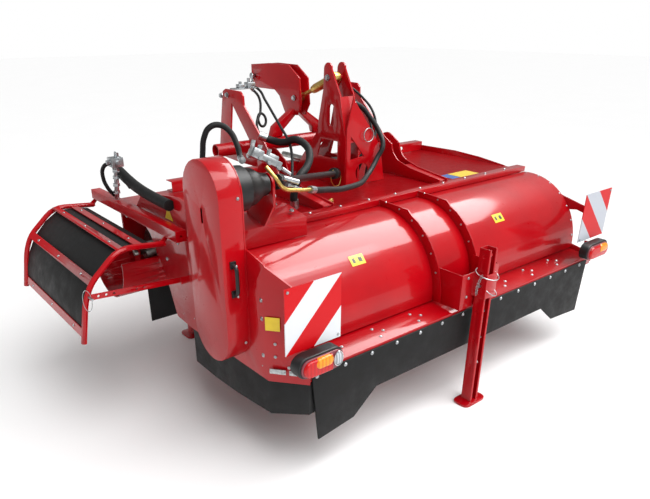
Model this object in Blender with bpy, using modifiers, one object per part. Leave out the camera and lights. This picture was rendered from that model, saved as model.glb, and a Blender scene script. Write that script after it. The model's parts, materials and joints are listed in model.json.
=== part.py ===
"""A three-row haulm topper with side discharge, standing on its three parking stands.

Metres, +Z up. While it is modelled, X = 0 is the middle of the machine, +X its right-hand end seen from
behind, Y = 0 the bolt line of the rear rubber flap, +Y the tractor's side, and Z = 0 the ground.
The last step moves everything so that the origin lies on the ground under the middle of the outer box.
"""
import math

import bmesh
import bpy
from mathutils import Matrix, Vector

# driving dimensions
CENTRE_X, CENTRE_Y = 0.2223, -0.8927     # shift that centres the outer box on the origin
GAP = 0.0005                             # air between pieces that touch
SIDE_X = 1.187                           # middle of each side plate
SHEET = 0.006                            # side plates
INNER_X = SIDE_X - SHEET / 2 - GAP       # half length of what fits between the side plates
HOOD_Y, HOOD_Z, HOOD_R = 0.52, 0.587, 0.38
HOOD_WALL = 0.004
RIB_X, RIB_T = 0.15, 0.008
ROTOR_Y, ROTOR_Z = 0.3955, 0.65
PULLEY_Z = 1.238
COVER_R = 0.1385                         # outer radius of the belt cover's round ends
AUGER_Y, AUGER_Z, AUGER_R = 1.33, 0.73, 0.19
TROUGH_R = 0.206
DECK_Z = 0.972
TILT_Y, TILT_Z = 1.14, 1.145             # pivot of the headstock
ARM_X = 0.447                            # middle of each headstock side frame
FOLD_X, FOLD_Z = -1.290, 0.934           # hinge of the outlet deflector
DEFLECTOR_Y = (0.80, 1.66)               # its two bent tubes
STAND_X, STAND_Y = -0.02, -0.0695        # rear parking stand
FRONT_STAND_X, FRONT_STAND_Y = 0.80, 1.582
BOARD = 0.282                            # warning board, square

RED = ("red_paint", (0.62, 0.012, 0.02), 0.25, 0.0)
RUBBER = ("black_rubber", (0.02, 0.02, 0.02), 0.7, 0.0)
PLASTIC = ("black_plastic", (0.025, 0.025, 0.028), 0.45, 0.0)
ZINC = ("zinc_plate", (0.62, 0.63, 0.64), 0.35, 0.9)
STEEL = ("bare_steel", (0.45, 0.45, 0.46), 0.35, 1.0)
CAST = ("grey_casting", (0.20, 0.20, 0.21), 0.55, 0.6)
CHROMATE = ("yellow_zinc", (0.55, 0.42, 0.20), 0.4, 0.8)
BOARD_WHITE = ("board_sheet", (0.85, 0.85, 0.86), 0.4, 0.0)
LAMP_RED = ("lamp_plastic", (0.7, 0.03, 0.02), 0.2, 0.0)

PARTS = None
CUTTERS = None


# ---------------------------------------------------------------- helpers
def start_scene():
    """Empty the scene and make the two collections."""
    global PARTS, CUTTERS
    for old in list(bpy.data.objects):
        bpy.data.objects.remove(old, do_unlink=True)
    PARTS = bpy.data.collections.new("haulm_topper")
    CUTTERS = bpy.data.collections.new("cutters")
    for group in (PARTS, CUTTERS):
        bpy.context.scene.collection.children.link(group)


def material(finish):
    name, colour, roughness, metallic = finish
    mat = bpy.data.materials.get(name)
    if mat is None:
        mat = bpy.data.materials.new(name)
        mat.use_nodes = True
        shader = mat.node_tree.nodes["Principled BSDF"]
        shader.inputs["Base Color"].default_value = (*colour, 1.0)
        shader.inputs["Roughness"].default_value = roughness
        shader.inputs["Metallic"].default_value = metallic
    return mat


def add_object(name, data, matrix=None):
    obj = bpy.data.objects.new(name, data)
    CUTTERS.objects.link(obj)
    obj.hide_render = True
    obj.display_type = "WIRE"
    if matrix is not None:
        obj.matrix_world = matrix
    return obj


def part(name, obj, finish, pivot=None):
    """Make a finished solid one of the machine's nodes, with its origin on its joint's axis."""
    obj.name = name
    obj.data.name = name
    if pivot is not None:
        point = Vector(pivot)
        obj.data.transform(Matrix.Translation(-point))
        obj.location = point
    obj.data.materials.clear()
    obj.data.materials.append(material(finish))
    obj.data.shade_smooth()
    obj.data.set_sharp_from_angle(angle=math.radians(35))
    CUTTERS.objects.unlink(obj)
    PARTS.objects.link(obj)
    obj.hide_render = False
    obj.display_type = "TEXTURED"
    return obj


def bake(obj):
    """Turn a curve, or a mesh with modifiers, into a plain welded mesh in world coordinates."""
    bpy.context.view_layer.update()
    graph = bpy.context.evaluated_depsgraph_get()
    mesh = bpy.data.meshes.new_from_object(obj.evaluated_get(graph))
    mesh.transform(obj.matrix_world)
    work = bmesh.new()
    work.from_mesh(mesh)
    bmesh.ops.remove_doubles(work, verts=work.verts, dist=0.00001)
    bmesh.ops.recalc_face_normals(work, faces=work.faces)
    work.to_mesh(mesh)
    work.free()
    name = obj.name
    bpy.data.objects.remove(obj, do_unlink=True)
    return add_object(name, mesh)


def combine(base, others, operation):
    """Exact Boolean of base with each of the others, which are used up."""
    for other in others:
        mod = base.modifiers.new("cut", "BOOLEAN")
        mod.operation = operation
        mod.solver = "EXACT"
        mod.object = other
    base = bake(base)
    for other in others:
        bpy.data.objects.remove(other, do_unlink=True)
    return base


def union(base, *others):
    return combine(base, others, "UNION")


def cut(base, *others):
    return combine(base, others, "DIFFERENCE")


def keep_inside(base, other):
    return combine(base, (other,), "INTERSECT")


def plane_frame(axis, at):
    """Where a flat outline lies: (y, z) outlines for X, (x, z) for Y, (x, y) for Z."""
    columns = {
        "X": ((0, 1, 0), (0, 0, 1), (1, 0, 0)),
        "Y": ((1, 0, 0), (0, 0, 1), (0, -1, 0)),
        "Z": ((1, 0, 0), (0, 1, 0), (0, 0, 1)),
    }[axis]
    turn = Matrix(columns).transposed().to_4x4()
    place = {"X": (at, 0, 0), "Y": (0, at, 0), "Z": (0, 0, at)}[axis]
    return Matrix.Translation(place) @ turn


def plate(axis, low, high, outline, holes=()):
    """A flat outline, with holes, extruded along an axis from low to high."""
    curve = bpy.data.curves.new("outline", "CURVE")
    curve.dimensions = "2D"
    curve.fill_mode = "BOTH"
    curve.extrude = abs(high - low) / 2
    for ring in (outline, *holes):
        spline = curve.splines.new("POLY")
        spline.points.add(len(ring) - 1)
        for point, (u, v) in zip(spline.points, ring):
            point.co = (u, v, 0, 1)
        spline.use_cyclic_u = True
    return bake(add_object("plate", curve, plane_frame(axis, (low + high) / 2)))


def arc(centre, radius, start, end, steps):
    """Points on a circle, from start to end in degrees, both ends included."""
    points = []
    for i in range(steps + 1):
        angle = math.radians(start + (end - start) * i / steps)
        points.append((centre[0] + radius * math.cos(angle), centre[1] + radius * math.sin(angle)))
    return points


def circle(centre, radius, steps=16):
    return arc(centre, radius, 0, 360 * (steps - 1) / steps, steps - 1)


def slot(centre, width, height, steps=6):
    """An upright slot with round ends."""
    half = height / 2 - width / 2
    top = arc((centre[0], centre[1] + half), width / 2, 0, 180, steps)
    return top + arc((centre[0], centre[1] - half), width / 2, 180, 360, steps)


def stadium(centre_u, low, high, radius, steps=12):
    """An upright outline with round ends, low and high being the centres of its ends."""
    top = arc((centre_u, high), radius, 0, 180, steps)
    return top + arc((centre_u, low), radius, 180, 360, steps)


def rectangle(u0, v0, u1, v1):
    return [(u0, v0), (u1, v0), (u1, v1), (u0, v1)]


def offset_path(points, distance):
    """A path moved sideways to its left by distance, with mitred corners."""
    moved = []
    for i, (u, v) in enumerate(points):
        normals = []
        for a, b in ((i - 1, i), (i, i + 1)):
            if a >= 0 and b < len(points):
                run = Vector(points[b]) - Vector(points[a])
                normals.append(Vector((-run.y, run.x)).normalized())
        mean = sum(normals, Vector((0, 0))).normalized()
        moved.append((u + mean.x * distance / mean.dot(normals[0]),
                      v + mean.y * distance / mean.dot(normals[0])))
    return moved


def strip(points, thickness):
    """The outline of a sheet of the given thickness that follows a path."""
    left = offset_path(points, thickness / 2)
    return left + offset_path(points, -thickness / 2)[::-1]


def block(low, high):
    """A box between two corners."""
    work = bmesh.new()
    bmesh.ops.create_cube(work, size=1.0)
    size = [b - a for a, b in zip(low, high)]
    centre = [(a + b) / 2 for a, b in zip(low, high)]
    bmesh.ops.scale(work, vec=size, verts=work.verts)
    bmesh.ops.translate(work, vec=centre, verts=work.verts)
    mesh = bpy.data.meshes.new("block")
    work.to_mesh(mesh)
    work.free()
    return add_object("block", mesh)


def rod(start, end, radius, steps=16, tip=None):
    """A round bar between two points, or a cone when tip gives another radius at the end."""
    a, b = Vector(start), Vector(end)
    run = b - a
    work = bmesh.new()
    bmesh.ops.create_cone(work, cap_ends=True, segments=steps, radius1=radius,
                          radius2=radius if tip is None else tip, depth=run.length)
    turn = run.to_track_quat("Z", "Y").to_matrix().to_4x4()
    bmesh.ops.transform(work, matrix=Matrix.Translation((a + b) / 2) @ turn, verts=work.verts)
    mesh = bpy.data.meshes.new("rod")
    work.to_mesh(mesh)
    work.free()
    return add_object("rod", mesh)


def turned(profile, start, direction, steps=24):
    """A solid of revolution: profile holds (distance along the axis, radius), as a closed outline."""
    work = bmesh.new()
    ring = [work.verts.new((radius, 0, along)) for along, radius in profile]
    for a, b in zip(ring, ring[1:] + ring[:1]):
        if a.co.x > 0 or b.co.x > 0:
            work.edges.new((a, b))
    mesh = bpy.data.meshes.new("turned")
    work.to_mesh(mesh)
    work.free()
    turn = Vector(direction).to_track_quat("Z", "Y").to_matrix().to_4x4()
    obj = add_object("turned", mesh, Matrix.Translation(start) @ turn)
    mod = obj.modifiers.new("turn", "SCREW")
    mod.steps = steps
    mod.render_steps = steps
    mod.use_merge_vertices = True
    mod.merge_threshold = 0.00001
    return bake(obj)


def smooth_route(points, per_span=4):
    """Points on a smooth curve that passes through the given ones."""
    knots = [Vector(p) for p in points]
    knots = [2 * knots[0] - knots[1], *knots, 2 * knots[-1] - knots[-2]]
    route = []
    for i in range(1, len(knots) - 2):
        p0, p1, p2, p3 = knots[i - 1:i + 3]
        for step in range(per_span):
            t = step / per_span
            route.append(0.5 * (2 * p1 + (p2 - p0) * t + (2 * p0 - 5 * p1 + 4 * p2 - p3) * t * t
                                + (3 * p1 - p0 - 3 * p2 + p3) * t ** 3))
    route.append(knots[-2])
    return route


def pipe(points, radius, resolution=2):
    """A round bar or hose along a route of points."""
    curve = bpy.data.curves.new("pipe", "CURVE")
    curve.dimensions = "3D"
    curve.bevel_depth = radius
    curve.bevel_resolution = resolution
    curve.use_fill_caps = True
    spline = curve.splines.new("POLY")
    spline.points.add(len(points) - 1)
    for point, place in zip(spline.points, points):
        point.co = (*place, 1)
    return bake(add_object("pipe", curve))


def rounded_bends(points, radius, steps=4):
    """A path of straight runs whose corners are rounded by short curves."""
    knots = [Vector(p) for p in points]
    path = [knots[0]]
    for before, corner, after in zip(knots, knots[1:], knots[2:]):
        reach = min(radius, (corner - before).length / 2.2, (after - corner).length / 2.2)
        a = corner + (before - corner).normalized() * reach
        b = corner + (after - corner).normalized() * reach
        for i in range(steps + 1):
            t = i / steps
            path.append(a * (1 - t) ** 2 + corner * 2 * t * (1 - t) + b * t ** 2)
    path.append(knots[-1])
    return path


# ---------------------------------------------------------------- housing
def left_side_plate():
    """Side plate with its rear corner folded in, cut out in front for the crop to leave."""
    plan = [(-SIDE_X, 1.57), (-SIDE_X, 0.133), (-1.075, -0.007)]
    wall = plate("Z", 0.45, 1.20, strip(plan, SHEET))
    profile = [(-0.03, 0.48), (0.80, 0.468), (0.951, 0.48), (1.025, 0.657), (1.106, 0.786),
               (1.17, 0.87), (1.25, 0.92), (1.57, 0.92), (1.57, 0.97), (1.318, 0.97),
               (1.203, 1.078), (0.80, 1.13), (0.60, 1.10), (0.35, 1.055), (0.140, 1.000), (-0.03, 0.845)]
    rotor_hole = circle((ROTOR_Y, ROTOR_Z), 0.030)
    body = keep_inside(wall, plate("X", -1.30, -0.90, profile, [rotor_hole]))
    ear = block((-1.238, 0.768, 0.728), (-SIDE_X, 0.774, 0.764))
    pin = rod((-1.215, 0.770, 0.746), (-1.215, 0.788, 0.746), 0.007, 12)
    part("side_plate_left", union(body, ear, pin), RED)


def right_side_plate():
    """Side plate with the arm that carries the warning board, open behind the arm."""
    outline = [(0.0, 0.500), (0.0, 0.548), (0.104, 0.571), (0.180, 0.585), (0.225, 0.640),
               (0.240, 0.700), (0.271, 0.775), (0.152, 0.797), (-0.030, 0.750), (-0.030, 0.802),
               (0.116, 0.832), (0.424, 0.905), (0.575, 0.950), (0.725, 0.981), (0.93, 1.005),
               (1.146, 1.017), (1.57, 1.011), (1.57, 0.48), (0.188, 0.468)]
    holes = [circle((ROTOR_Y, ROTOR_Z), 0.030), circle((AUGER_Y, AUGER_Z), 0.030)]
    body = plate("X", SIDE_X - SHEET / 2, SIDE_X + SHEET / 2, outline, holes)
    part("side_plate_right", body, RED)


def deck_and_beams():
    section = [(0.556, 0.968), (0.562, 0.968), (0.562, DECK_Z), (1.5345, DECK_Z), (1.5345, DECK_Z + SHEET),
               (0.562, DECK_Z + SHEET), (0.562, 0.994), (0.620, 0.994), (0.620, 1.000), (0.556, 1.000)]
    part("deck_plate", plate("X", -INNER_X, INNER_X, section), RED)
    low, high = DECK_Z + SHEET + GAP, 1.040
    channel = [(1.46, low), (1.53, low), (1.53, low + 0.005), (1.465, low + 0.005),
               (1.465, high - 0.005), (1.53, high - 0.005), (1.53, high), (1.46, high)]
    beam = plate("X", -0.9, INNER_X, channel)
    holes = [rod((x, 1.45, 1.009), (x, 1.47, 1.009), 0.016, 12) for x in (0.50, 0.60, 0.70, 0.86, 0.96)]
    part("front_beam", cut(beam, *holes), RED)


def front_plate():
    """Front wall of the housing with the two sleeves for the front parking stands."""
    wall = plate("Y", 1.545, 1.551, rectangle(-INNER_X, 0.56, INNER_X, 0.968))
    sleeves = []
    for side in (-1, 1):
        x = side * FRONT_STAND_X
        outer = rectangle(x - 0.034, FRONT_STAND_Y - 0.034, x + 0.034, FRONT_STAND_Y + 0.034)
        inner = rectangle(x - 0.0258, FRONT_STAND_Y - 0.0258, x + 0.0258, FRONT_STAND_Y + 0.0258)
        sleeves.append(plate("Z", 0.58, 0.80, outer, [inner]))
    part("front_plate", union(wall, *sleeves), RED)


def auger_trough():
    """Sheet trough under the auger, with a spout past the left side plate and a bearing strap."""
    centre = (AUGER_Y, AUGER_Z)
    middle = TROUGH_R + 0.002
    main = arc(centre, middle, 150, 360, 22) + [(AUGER_Y + middle, 0.966)]
    trough = plate("X", -INNER_X, INNER_X, strip(main, 0.004))
    spout = plate("X", -1.38, -INNER_X + 0.004, strip(arc(centre, middle, 172, 352, 18), 0.004))
    strap = plate("X", -1.212, -1.204, arc(centre, 0.038, 0, 180, 8)
                  + [(AUGER_Y - 0.03, AUGER_Z - 0.10), (AUGER_Y - 0.03, AUGER_Z - middle),
                     (AUGER_Y + 0.03, AUGER_Z - middle), (AUGER_Y + 0.03, AUGER_Z - 0.10)],
                  [circle(centre, 0.0215)])
    part("auger_trough", union(trough, spout, strap), RED)


def hood_and_ribs():
    """Three curved hood panels over the rotor, and the two ribs between them."""
    shell = arc((HOOD_Y, HOOD_Z), HOOD_R, 84, 184.5, 20)
    shell += arc((HOOD_Y, HOOD_Z), HOOD_R - HOOD_WALL, 184.5, 84, 20)
    spans = {
        "hood_panel_left": (-INNER_X, -RIB_X - GAP / 2),
        "hood_panel_centre": (-RIB_X + GAP / 2, RIB_X - GAP / 2),
        "hood_panel_right": (RIB_X + GAP / 2, INNER_X),
    }
    for name, (low, high) in spans.items():
        part(name, plate("X", low, high, shell), RED)
    centre = (HOOD_Y, HOOD_Z)
    outline = [(0.5535, 1.000), (0.350, 0.990), (0.318, 0.962)] + arc(centre, 0.432, 125, 180, 10)
    outline += [(HOOD_Y - 0.432, 0.560)] + arc(centre, HOOD_R + GAP * 1.6, 184, 86, 20)
    for side, name in ((-1, "rib_left"), (1, "rib_right")):
        x = side * RIB_X
        part(name, plate("X", x - RIB_T / 2, x + RIB_T / 2, outline), RED)


def rear_shelf():
    """Sloping shelf behind the hood with a turned-down lip that the rear flap is bolted to."""
    section = [(0.0, 0.488), (0.004, 0.488), (0.004, 0.5335), (0.175, 0.5475), (0.175, 0.5515), (0.0, 0.5375)]
    shelf = plate("X", -1.1765, 1.1765, section)
    away = plate("Z", 0.4, 0.6, [(-1.30, 0.1399), (-1.1784, 0.1399), (-1.0600, -0.0081), (-1.0600, -0.1),
                                 (-1.30, -0.1)])
    part("rear_shelf", cut(shelf, away), RED)


def drive_pedestal():
    """Folded bracket on top of the hood with the bearing plate for the upper belt shaft."""
    path = [(0.4265, 0.9605), (0.4265, 1.045), (0.56, 1.072), (0.74, 1.072), (0.74, 0.9795)]
    cover = plate("X", -INNER_X, -0.75, strip(path, 0.005))
    bearing = plate("X", -0.985, -0.973, arc((ROTOR_Y, PULLEY_Z), 0.046, -60, 180, 12)
                    + [(0.3495, 1.15), (0.4285, 1.040), (0.56, 1.070), (0.56, 1.10)],
                    [circle((ROTOR_Y, PULLEY_Z), 0.0195)])
    part("drive_pedestal", union(cover, bearing), RED)


def stand_bracket():
    """U-shaped bracket between the ribs that carries the rear stand's sleeve."""
    inside = RIB_X - RIB_T / 2 - GAP
    wall = 0.005
    rear = -0.030
    plan = [(-inside, 0.135), (-inside, rear), (inside, rear), (inside, 0.135), (inside - wall, 0.135),
            (inside - wall, rear + wall), (wall - inside, rear + wall), (wall - inside, 0.135)]
    box = plate("Z", 0.556, 0.742, plan)
    half = 0.038
    hole = 0.0308
    sleeve = plate("Z", 0.62, 0.745,
                   rectangle(STAND_X - half, STAND_Y - half, STAND_X + half, STAND_Y + half + 0.003),
                   [rectangle(STAND_X - hole, STAND_Y - hole, STAND_X + hole, STAND_Y + hole)])
    drill = rod((STAND_X - 0.06, STAND_Y, 0.68), (STAND_X + 0.06, STAND_Y, 0.68), 0.0088, 12)
    part("stand_bracket", cut(union(box, sleeve), drill), RED)


def housing():
    left_side_plate()
    right_side_plate()
    deck_and_beams()
    front_plate()
    auger_trough()
    hood_and_ribs()
    rear_shelf()
    drive_pedestal()
    stand_bracket()


# ---------------------------------------------------------------- rubber skirts
def rubber_skirts():
    flap = [(-1.066, 0.525), (-1.03, 0.178), (-0.82, 0.207), (-0.68, 0.32), (0.68, 0.32), (0.82, 0.210),
            (1.10, 0.190), (1.12, 0.525)]
    part("rear_flap", plate("Y", -0.0085, -GAP, flap), RUBBER)
    plan = offset_path([(-SIDE_X, 0.80), (-SIDE_X, 0.133), (-1.0808, 0.0002)], 0.0068) + [(-1.0300, 0.0085)]
    sheet = plate("Z", 0.20, 0.60, strip(plan, 0.006))
    profile = [(0.81, 0.55), (-0.03, 0.55), (-0.03, 0.328), (0.186, 0.303), (0.40, 0.280), (0.60, 0.270),
               (0.81, 0.275)]
    sheet = keep_inside(sheet, plate("X", -1.3, -1.0, profile))
    notch = block((-1.0815, -0.02, 0.482), (-1.0, 0.05, 0.60))
    part("side_skirt_left", cut(sheet, notch), RUBBER)
    x = INNER_X - GAP
    part("side_skirt_right", plate("X", x - 0.006, x, [(0.81, 0.55), (0.182, 0.46), (0.182, 0.30), (0.60, 0.245),
                                                       (0.81, 0.275)]), RUBBER)
    part("front_flap", plate("Y", 1.366, 1.374, rectangle(-1.16, 0.283, 1.16, 0.515)), RUBBER)


# ---------------------------------------------------------------- parking stands
def stand_foot(x, y, half_x, half_y, thickness=0.012):
    outline = []
    radius = 0.03
    for sx, sy, start in ((1, 1, 0), (-1, 1, 90), (-1, -1, 180), (1, -1, 270)):
        outline += arc((x + sx * (half_x - radius), y + sy * (half_y - radius)), radius, start, start + 90, 3)
    return plate("Z", 0.0, thickness, outline)


def stands():
    half, wall, lip = 0.030, 0.005, 0.013
    x, y = STAND_X, STAND_Y
    channel = [(x - half + lip, y - half), (x - half, y - half), (x - half, y + half), (x + half, y + half),
               (x + half, y - half), (x + half - lip, y - half), (x + half - lip, y - half + wall),
               (x + half - wall, y - half + wall), (x + half - wall, y + half - wall),
               (x - half + wall, y + half - wall), (x - half + wall, y - half + wall),
               (x - half + lip, y - half + wall)]
    post = plate("Z", 0.006, 0.870, channel)
    drills = [rod((x - 0.04, y, z), (x + 0.04, y, z), 0.0088, 10) for z in (0.23, 0.38, 0.53, 0.68, 0.83)]
    post = cut(post, *drills)
    part("rear_stand", union(post, stand_foot(x, y, 0.085, 0.05)), RED, (x, y, 0.0))
    for side, name in ((-1, "front_stand_left"), (1, "front_stand_right")):
        x, y = side * FRONT_STAND_X, FRONT_STAND_Y
        tube = plate("Z", 0.006, 0.86, rectangle(x - 0.025, y - 0.025, x + 0.025, y + 0.025),
                     [rectangle(x - 0.021, y - 0.021, x + 0.021, y + 0.021)])
        cap = stand_foot(x, y, 0.065, 0.065)
        part(name, union(tube, cap), RED, (x, y, 0.0))


# ---------------------------------------------------------------- mast and headstock
def mast():
    """Two upright plates with a slot and a window, the web between them, and the rear gusset."""
    outline = [(0.945, DECK_Z + SHEET + GAP), (0.945, 1.247), (1.000, 1.480), (1.075, 1.612)]
    outline += arc((1.105, 1.608), 0.035, 150, 10, 6)
    outline += [(1.145, 1.500), (1.205, 1.260), (1.250, 1.200), (1.340, 1.110), (1.415, 1.000),
                (1.415, DECK_Z + SHEET + GAP)]
    window = [(1.015, 1.125), (1.200, 1.125), (1.165, 1.228), (1.015, 1.228)]
    upright_slot = slot((1.072, 1.365), 0.045, 0.125)
    sides = [plate("X", x - 0.005, x + 0.005, outline, [window, upright_slot]) for x in (-0.05, 0.05)]
    base = DECK_Z + SHEET + GAP
    gusset = plate("Y", 0.938, 0.948,
                   [(-0.051, base + 0.002), (0.260, base + 0.002), (0.235, 1.10), (0.205, 1.20),
                    (-0.005, 1.465), (-0.051, 1.300)],
                   [[(-0.020, 1.262), (-0.020, 1.130), (0.088, 1.140)], circle((0.075, 1.050), 0.052, 20)])
    pin = rod((-0.052, 1.105, 1.565), (0.052, 1.105, 1.565), 0.0125, 12)
    tie = block((-0.047, 1.350, base + 0.003), (0.047, 1.360, 1.030))
    web = plate("X", -0.048, 0.048, strip([(0.9455, 1.225), (1.0035, 1.470)], 0.005))
    part("mast", union(sides[0], sides[1], gusset, pin, tie, web), RED)


def brace(side, name):
    """Twin-plate pivot bracket on the deck, joined by its sloping web and pivot pin."""
    base = DECK_Z + SHEET + GAP
    outline = [(0.625, base), (0.625, 1.010), (0.86, 1.040), (0.925, 1.058)]
    outline += arc((0.91, 1.18), 0.123, -70, -8, 6)
    outline += arc((TILT_Y, TILT_Z), 0.070, 120, -20, 8)
    outline += [(1.235, base)]
    x = side * ARM_X
    walls = [plate("X", x + shift - 0.004, x + shift + 0.004, outline) for shift in (-0.034, 0.034)]
    web = plate("X", x - 0.034, x + 0.034, strip([(0.635, 0.998), (0.86, 1.029), (0.925, 1.047)], 0.005))
    pin = rod((x - 0.050, TILT_Y, TILT_Z), (x + 0.050, TILT_Y, TILT_Z), 0.014, 14)
    part(name, union(walls[0], walls[1], web, pin), RED)


def headstock():
    """Frame that the tractor holds: cross tube, two side frames, gooseneck and linkage pins."""
    pivot = (0.0, TILT_Y, TILT_Z)
    tube_y, tube_z = 1.476, 1.172
    frame = plate("X", -0.595, 0.595, circle((tube_y, tube_z), 0.038, 20), [circle((tube_y, tube_z), 0.032, 20)])
    side = arc((TILT_Y, TILT_Z), 0.042, 110, 250, 8)
    side += [(1.30, 1.095), (1.45, 1.095), (1.640, 1.105), (1.660, 1.170), (1.625, 1.335), (1.590, 1.482),
             (1.560, 1.497), (1.405, 1.493), (1.378, 1.470), (1.375, 1.420)]
    eye = circle((TILT_Y, TILT_Z), 0.0155, 14)
    opening = [(1.500, 1.425), (1.535, 1.230), (1.400, 1.195), (1.330, 1.210), (1.330, 1.240)]
    link_hole = circle((1.605, 1.155), 0.0150, 14)
    for x in (-ARM_X, ARM_X):
        frame = union(frame, plate("X", x - 0.006, x + 0.006, side, [eye, opening, link_hole]))
    bore = rod((-0.60, tube_y, tube_z), (0.60, tube_y, tube_z), 0.0315, 20)
    part("headstock_frame", cut(frame, bore), RED, pivot)
    for sign, name in ((-1, "lower_link_pin_left"), (1, "lower_link_pin_right")):
        x = sign * ARM_X
        pin = union(rod((x - 0.065, 1.605, 1.155), (x + 0.065, 1.605, 1.155), 0.0140, 14),
                    rod((x + sign * 0.062, 1.605, 1.155), (x + sign * 0.070, 1.605, 1.155), 0.023, 14))
        part(name, pin, STEEL, (x, 1.605, 1.155))
    gooseneck(tube_y, tube_z, pivot)
    pin = union(rod((-0.060, 1.868, 1.532), (0.060, 1.868, 1.532), 0.0125, 14),
                rod((-0.066, 1.868, 1.532), (-0.056, 1.868, 1.532), 0.020, 14))
    part("top_link_pin", pin, ZINC, (0.0, 1.868, 1.532))


def gooseneck(tube_y, tube_z, pivot):
    """Forked hook for the top link, on two spread legs that stand on the cross tube."""
    outline = [(1.905, 1.600), (1.700, 1.615), (1.500, 1.612), (1.392, 1.545), (1.378, 1.395),
               (1.420, 1.330), (1.540, 1.330)]
    outline += [(1.575, 1.385), (1.600, 1.430), (1.650, 1.462), (1.905, 1.462)]
    hole = circle((1.868, 1.532), 0.0135, 14)
    cheeks = [plate("X", x - 0.005, x + 0.005, outline, [hole]) for x in (-0.032, 0.032)]
    top = tube_z + 0.0385
    legs = [(-0.037, 1.392), (-0.037, 1.365), (-0.185, 1.270), (-0.205, top), (-0.125, top), (-0.115, 1.250),
            (0.0, 1.345), (0.115, 1.250), (0.125, top), (0.205, top), (0.185, 1.270), (0.037, 1.365),
            (0.037, 1.392)]
    fork = plate("Y", tube_y - 0.022, tube_y + 0.022, legs)
    pin = rod((-0.034, 1.440, 1.430), (0.034, 1.440, 1.430), 0.0125, 12)
    spine = block((-0.030, 1.56, 1.598), (0.030, 1.70, 1.606))
    part("gooseneck", union(cheeks[0], cheeks[1], fork, pin, spine), RED, pivot)


def eye_end(centre, radius, hole, half_width, steps=14):
    return plate("X", -half_width, half_width, circle(centre, radius, steps), [circle(centre, hole, steps)])


def turnbuckle():
    """Adjusting spindle from the mast to the gooseneck: a hollow barrel and a screwed rod."""
    near, far = Vector((0.0, 1.105, 1.565)), Vector((0.0, 1.440, 1.430))
    along = (far - near).normalized()
    barrel = turned([(0.030, 0.0135), (0.215, 0.0135), (0.215, 0.022), (0.19, 0.026), (0.07, 0.026),
                     (0.035, 0.018), (0.030, 0.018)], near, along, 16)
    barrel = union(barrel, rod(near + along * 0.018, near + along * 0.046, 0.0165, 14))
    eye_near = eye_end((near.y, near.z), 0.028, 0.0135, 0.020)
    eye_core = rod(near + along * 0.0, near + along * 0.020, 0.010, 8)
    barrel = cut(union(barrel, eye_near), eye_core)
    hole = rod(near - Vector((0.03, 0, 0)), near + Vector((0.03, 0, 0)), 0.0135, 14)
    part("turnbuckle_barrel", cut(barrel, hole), CHROMATE, near)
    screw = rod(near + along * 0.085, far - along * 0.022, 0.0125, 14)
    eye_far = eye_end((far.y, far.z), 0.030, 0.0190, 0.018)
    part("turnbuckle_screw", union(screw, eye_far), CHROMATE, near)


# ---------------------------------------------------------------- drive
def belt_line(radius_low, radius_high, steps=14):
    """Outline round two circles, one above the other: the belt's path at a given distance."""
    rise = PULLEY_Z - ROTOR_Z
    lean = math.degrees(math.asin((radius_low - radius_high) / rise))
    top = arc((ROTOR_Y, PULLEY_Z), radius_high, lean, 180 - lean, steps)
    return top + arc((ROTOR_Y, ROTOR_Z), radius_low, 180 - lean, 360 + lean, steps)


def belt_drive():
    low, high, width = 0.080, 0.100, 0.030
    x = -1.245
    wheel_ends = {"lower": (low, ROTOR_Z, 0.0205), "upper": (high, PULLEY_Z, None)}
    radius, z, bore = wheel_ends["lower"]
    ring = [(0.0, bore), (2 * width, bore), (2 * width, radius), (0.0, radius)]
    part("lower_pulley", turned(ring, (x - width, ROTOR_Y, z), (1, 0, 0), 28), CAST, (x, ROTOR_Y, ROTOR_Z))
    radius, z, bore = wheel_ends["upper"]
    shaft_end = -0.955
    profile = [(0.0, 0.0), (shaft_end - x + width, 0.0), (shaft_end - x + width, 0.0185), (2 * width, 0.0185),
               (2 * width, radius), (0.0, radius)]
    part("upper_pulley", turned(profile, (x - width, ROTOR_Y, z), (1, 0, 0), 28), CAST, (x, ROTOR_Y, PULLEY_Z))
    inner = belt_line(low + GAP * 1.6, high + GAP * 1.6, 20)
    outer = belt_line(low + 0.009, high + 0.009)
    part("drive_belt", plate("X", x - 0.028, x + 0.028, outer, [inner]), RUBBER)
    outline = stadium(ROTOR_Y, 0.511 + COVER_R, 1.377 - COVER_R, COVER_R)
    back = plate("X", -1.1965, -1.1905, outline,
                 [circle((ROTOR_Y, ROTOR_Z), 0.028), circle((ROTOR_Y, PULLEY_Z), 0.024)])
    part("belt_backplate", back, RED)


def belt_cover():
    """Pressed cover over the belt drive, open towards the machine, hinged at its front edge."""
    centres = (ROTOR_Y, 0.511 + COVER_R, 1.377 - COVER_R)
    wall = 0.004
    outside, inside = stadium(*centres, COVER_R), stadium(*centres, COVER_R - wall)
    rim = plate("X", -1.300, -1.1975, outside, [inside])
    window = slot((0.397, 1.158), 0.016, 0.064)
    face = plate("X", -1.300, -1.296, outside, [window])
    hinge = (-1.190, 0.545, 0.0)
    part("belt_cover", union(rim, face), RED, hinge)
    route = [(-1.257, 0.2530, 0.858), (-1.257, 0.226, 0.866), (-1.257, 0.226, 0.974), (-1.257, 0.2530, 0.982)]
    grip = pipe(rounded_bends(route, 0.014, 3), 0.0085)
    pads = [block((-1.270, 0.2563 - 0.008, z - 0.015), (-1.244, 0.2565, z + 0.015)) for z in (0.858, 0.982)]
    part("cover_handle", union(grip, *pads), PLASTIC, hinge)


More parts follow.
